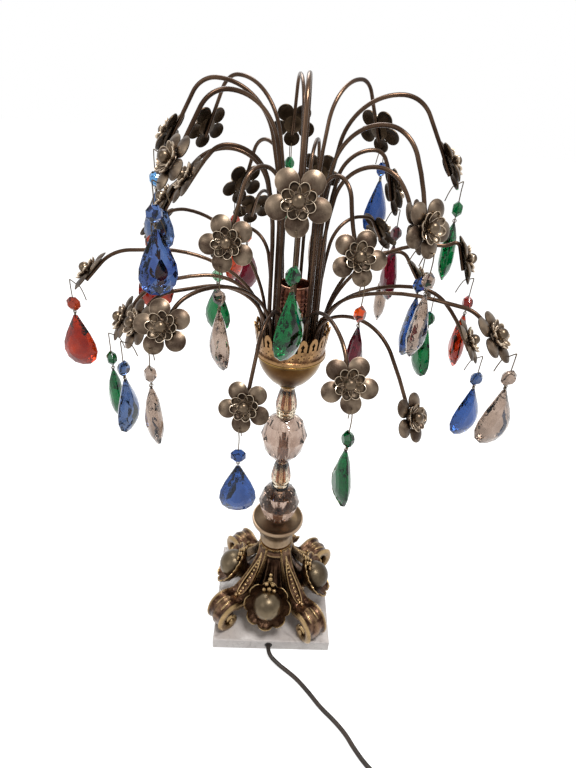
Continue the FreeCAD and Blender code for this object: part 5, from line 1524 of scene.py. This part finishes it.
@dataclass
class Flowers:
    """The pressed flowers at the arms' ends.

    Attributes:
        gauge: Thickness of the sheet.
        ring: Distance of a petal's middle from the flower's.
        petal: Radius of an outer petal.
        dome: Rise of an outer petal.
        crown: Distance of an inner petal's tip.
        spoons: Count of the inner petals.
        spoon_in: From an inner petal's tip back to its middle.
        spoon_height: Height of its middle above the plate.
        spoon_stagger: How much higher every second one stands.
        spoon_tilt: Degrees that it rises outwards.
        spoon_stretch: Its shares along and across.
        seed: Radius of the ball.
        seed_middle: Height of the ball's middle above the plate.
        rod: Diameter of the arm's wire.
    """

    gauge: float = 0.8
    ring: float = 13.4
    petal: float = 7.6
    dome: float = 2.4
    crown: float = 11.8
    spoons: int = 8
    spoon_in: float = 4.6
    spoon_height: float = 1.7
    spoon_stagger: float = 0.5
    spoon_tilt: float = 28.0
    spoon_stretch: tuple[float, float] = (1.55, 1.06)
    seed: float = 4.5
    seed_middle: float = 5.2
    rod: float = 3.2

    def shade(self, bm: bmesh.types.BMesh, shares: Callable[[Vector], float]) -> None:
        """Writes how open each point of a shape lies, for the painted shade of its hidden places.

        Args:
            bm: The shape.
            shares: Gives 0 where a point is hidden and 1 where it is open.
        """
        layer = bm.verts.layers.float.get(SHADE) or bm.verts.layers.float.new(SHADE)
        for vert in bm.verts:
            vert[layer] = min(1.0, max(0.0, shares(vert.co)))

    def outer(self) -> bpy.types.Mesh:
        """Makes the five round domed petals on their middle plate, facing +Z."""
        bm = bmesh.new()
        shares = (0.3, 0.55, 0.75, 0.89, 0.97)
        dome = [(self.petal * share, self.dome * (1 - share ** 2.2)) for share in shares]
        hollow = [(radius * 0.96, height - self.gauge) for radius, height in dome]
        rim = [(self.petal * 0.97, -0.75), (self.petal, -0.35), (self.petal, 0.1)]
        cap = turned([(0.0, self.dome - self.gauge), *hollow, *rim, *dome[::-1], (0.0, self.dome)], 28)
        middle = turned([(0.0, -self.gauge), (7.6, -self.gauge), (8.4, -0.2), (7.8, 0.3), (5.0, 0.0), (0.0, 0.0)], 30)
        # Faces that do not look towards the flower's front get material 1, the painted-shade back finish.
        for shape in (cap, middle):
            for face in shape.faces:
                face.material_index = int(face.normal.z < 0.1)
        cap, middle = pattern(cap), pattern(middle)
        for step in range(5):
            heading = math.radians(-90 + 72 * step)
            spot = Vector((math.cos(heading), math.sin(heading), 0.0)) * self.ring
            add_copy(bm, cap, Matrix.Translation(spot) @ Matrix.Rotation(heading, 4, "Z"))
        add_copy(bm, middle, Matrix.Identity(4))
        # Painted shade: darker towards the flower's middle, darkest on the middle plate.
        self.shade(bm, lambda spot: 0.15 + 0.85 * (spot.xy.length - 8.0) / 7.0)
        return pattern(bm)

    def inner(self) -> bpy.types.Mesh:
        """Makes the hollow spoon-shaped petals round the ball."""
        bm = bmesh.new()
        rows = [(0.0, 0.0), (0.45, 0.03), (0.78, 0.14), (0.98, 0.34), (1.10, 0.62), (1.20, 0.74), (1.28, 0.68),
                (1.26, 0.50), (1.12, 0.16), (0.84, -0.16), (0.5, -0.32), (0.0, -0.38)]
        spoon = turned([(radius * 2.75, height * 2.2) for radius, height in rows], 24)
        # Painted shade: darker towards the bottom of each spoon's hollow.
        self.shade(spoon, lambda spot: 0.6 + 0.4 * spot.xy.length / 2.6)
        spoon = pattern(spoon)
        tilt = Matrix.Rotation(math.radians(-self.spoon_tilt), 4, "Y")
        shape = Matrix.Diagonal((*self.spoon_stretch, 1.0, 1.0))
        for step in range(self.spoons):
            heading = 2 * math.pi * (step + 0.5) / self.spoons + math.pi / 2
            height = self.spoon_height + self.spoon_stagger * (step % 2)
            move = Matrix.Translation((self.crown - self.spoon_in, 0.0, height))
            add_copy(bm, spoon, Matrix.Rotation(heading, 4, "Z") @ move @ tilt @ shape)
        hub = turned([(0.0, 0.0), (6.8, 0.0), (6.2, 1.2), (0.0, 1.6)], 20)
        # Painted shade: the hub under the spoons is painted dark.
        self.shade(hub, lambda spot: 0.1)
        add_copy(bm, pattern(hub), Matrix.Identity(4))
        return pattern(bm)

    def centre(self, arm: Arm) -> Vector:
        """Gives the middle of an arm's flower plate.

        Args:
            arm: The arm.

        Returns:
            The point.
        """
        turn = math.radians(arm.turn)
        corner = self.rod / 2 * (math.cos(turn) + abs(math.sin(turn)))
        return arm.end(self.seed_middle + self.gauge + self.rod / 2) + arm.outward() * (corner + self.gauge)

    def build(self) -> None:
        """Makes all flowers, each kind of petal as one piece."""
        kinds = (("petals_outer", self.outer(), PETAL, "outer_petals"),
                 ("petals_inner", self.inner(), CROWN, "inner_petals"))
        spots = [Matrix.Translation(self.centre(arm)) @ axes(arm.side(), -arm.down(), arm.outward()) for arm in ARMS]
        for name, shape, finish, node in kinds:
            bm = bmesh.new()
            for spot in spots:
                add_copy(bm, shape, spot)
            # The lining is the painted-shade back finish.
            place(name, bm, finish, "silvered_bronze", [node], crease=50.0, lining=SHADED_PETAL_BACK)
        bm = bmesh.new()
        for spot in spots:
            add_ball(bm, spot @ Vector((0.0, 0.0, self.seed_middle)), self.seed, 20)
        place("petal_seeds", bm, SEED, "silvered_bronze", ["flower_balls"])


@dataclass
class Drops:
    """Hook, octagon bead, connector and pear prism under a flower.

    Attributes:
        hole: From the flower's middle to the hook's hole.
        beyond: From the hole to the petal's edge.
        petal_rise: Rise of the petal that the hook goes round.
        wire: Diameter of the hook's wire.
        tail: Length of the hook's tail.
        bead_across: Width of the bead.
        bead_thick: Thickness of the bead.
        link: From bead to prism.
        tall: Height of the prism.
        wide: Width of the prism.
        thick: Thickness of the prism.
        outline: Half width and height of the prism's outline, as shares.
    """

    hole: float = 17.0
    beyond: float = 4.0
    petal_rise: float = 2.4
    wire: float = 0.9
    tail: float = 12.0
    bead_across: float = 12.0
    bead_thick: float = 7.6
    link: float = 4.6
    tall: float = 49.0
    wide: float = 30.6
    thick: float = 11.5
    outline: tuple[tuple[float, float], ...] = ((0.10, 1.0), (0.38, 0.83), (0.70, 0.64), (0.94, 0.45), (1.0, 0.29),
                                                (0.84, 0.13), (0.48, 0.03), (0.0, 0.0))

    def stone(self, outline: Sequence[tuple[float, float]], middle: float, half: float,
              rows: Sequence[tuple[float, float]]) -> bpy.types.Mesh:
        """Cuts a stone whose rows of corners lie between each other, so that its facets cross as diamonds.

        Args:
            outline: Aside and height of the girdle's corners, once round.
            middle: Height of the middle that the rows shrink to.
            half: Half the thickness.
            rows: Size and depth of each row, from the girdle to the table.

        Returns:
            The stone, standing in the XZ plane with its lowest point at the origin.
        """
        bm = bmesh.new()
        count = len(outline)
        for at, (size, depth) in enumerate(rows):
            for corner in range(count):
                aside, height = outline[corner]
                if at % 2:
                    other = outline[(corner + 1) % count]
                    aside, height = (aside + other[0]) / 2, (height + other[1]) / 2
                for face in (-1.0, 1.0):
                    bm.verts.new((aside * size, face * half * depth, middle + (height - middle) * size))
        hull = bmesh.ops.convex_hull(bm, input=bm.verts)
        bmesh.ops.delete(bm, geom=hull["geom_interior"], context="VERTS")
        bmesh.ops.dissolve_limit(bm, angle_limit=math.radians(1.5), verts=bm.verts, edges=bm.edges)
        bmesh.ops.recalc_face_normals(bm, faces=bm.faces)
        return pattern(bm)

    def prism(self) -> bpy.types.Mesh:
        """Cuts the pear prism, with its top at the origin."""
        half = self.wide / 2
        right = [(half * aside, self.tall * up) for aside, up in self.outline]
        left = [(-aside, up) for aside, up in reversed(right[:-1])]
        rows = ((1.0, 0.10), (0.82, 0.48), (0.60, 0.80), (0.34, 1.0))
        shape = self.stone(right + left, self.tall * 0.40, self.thick / 2, rows)
        shape.transform(Matrix.Translation((0.0, 0.0, -self.tall)))
        return shape

    def bead(self) -> bpy.types.Mesh:
        """Cuts the octagon bead, with its middle at the origin."""
        reach = self.bead_across / 2 / math.cos(math.pi / 8)
        turns = [math.pi / 8 * (2 * step + 1) for step in range(8)]
        rim = [(reach * math.cos(turn), reach * math.sin(turn)) for turn in turns]
        return self.stone(rim, 0.0, self.bead_thick / 2, ((1.0, 0.10), (0.80, 0.46), (0.54, 1.0)))

    def metal(self, arm: Arm, hinge: Vector, front: Vector, top: Vector) -> bmesh.types.BMesh:
        """Bends the hook and the connector.

        Args:
            arm: The arm.
            hinge: Middle of the pin in the petal.
            front: Where the wire turns down in front of the petal.
            top: Where the leg meets the bead.

        Returns:
            Both wires.
        """
        bm = bmesh.new()
        radius = self.wire / 2
        out = arm.outward()
        side = UP.cross(out).normalized()
        back = hinge - out * 2.6
        tail = back + (out * -0.5 - UP).normalized() * self.tail
        rows = [tail, tail.lerp(back, 0.55) - out * 0.5, back + out * 0.2, hinge, front - out * 0.8,
                front - UP * 1.4, front.lerp(top, 0.5) + side * 0.5, top - UP * self.wire]
        path = flowing(rows, 4)
        swept(bm, round_section(8), path, [(radius, radius)] * len(path), side)
        low = top - UP * (self.bead_across - self.wire)
        end = top - UP * (self.bead_across + self.link + 2 * self.wire)
        swept(bm, round_section(6), [low, low.lerp(end, 0.5), end], [(radius, radius)] * 3, side)
        ring = turned([(1.35 + radius * 0.8 * math.cos(turn), radius * 0.8 * math.sin(turn))
                       for turn in [math.pi / 3 * step for step in range(6)]], 16, closed=True)
        eye = pattern(ring)
        upright = Matrix.Rotation(math.pi / 2, 4, "X")
        facing = arm.facing()
        for share, turn in ((0.30, facing), (0.72, facing @ Matrix.Rotation(math.pi / 2, 4, "Z"))):
            spot = top - UP * (self.bead_across + self.link * share)
            add_copy(bm, eye, Matrix.Translation(spot) @ turn @ upright)
        return bm

    def build(self, centres: dict[str, Vector]) -> None:
        """Makes every drop as four pieces on the drop's own body.

        Args:
            centres: Middle of each arm's flower plate.
        """
        prism, bead = self.prism(), self.bead()
        for arm in (arm for arm in ARMS if arm.hook):
            lean = math.radians(arm.lean)
            hinge = centres[arm.name] + arm.down() * self.hole
            clear = self.beyond * math.sin(lean) + self.petal_rise * math.cos(lean) + self.wire + 0.6
            front = hinge + arm.outward() * (clear / math.cos(lean))
            top = front - UP * arm.hook
            body = "drop_" + arm.name
            facing = arm.facing()
            place(body + ".hook", self.metal(arm, hinge, front, top), HOOK, "bronze_wire", [body], body)
            bm = bmesh.new()
            bmesh.ops.create_cone(bm, cap_ends=True, segments=10, radius1=0.5, radius2=0.5, depth=self.thick * 0.36)
            upright = Matrix.Rotation(math.pi / 2, 4, "X")
            spot = top - UP * (self.bead_across + self.link + self.tall * 0.12)
            bmesh.ops.transform(bm, matrix=Matrix.Translation(spot) @ facing @ upright, verts=bm.verts)
            place(body + ".pin", bm, STEEL, "bronze_wire", [], body)
            stones = (("bead", bead, top - UP * (self.bead_across / 2), arm.bead),
                      ("prism", prism, top - UP * (self.bead_across + self.link), arm.prism))
            for kind, shape, spot, tint in stones:
                bm = bmesh.new()
                add_copy(bm, shape, Matrix.Translation(spot) @ facing)
                place(f"{body}.{kind}", bm, tint.value, "glass_" + arm.prism.name.lower(), [], body, crease=0.5)


def main() -> None:
    """Builds the lamp and its surroundings in order."""
    logging.basicConfig(level=logging.WARNING, format="%(name)s %(message)s")
    LOG.setLevel(logging.INFO)
    Viewpoint().build()
    MainsLead().build()
    Studio().build()
    Foot().build()
    Stem().build()
    Socket().build()
    flowers = Flowers()
    centres = {arm.name: flowers.centre(arm) for arm in ARMS}
    Rods().build()
    flowers.build()
    Drops().build(centres)


if __name__ == "__main__":
    main()
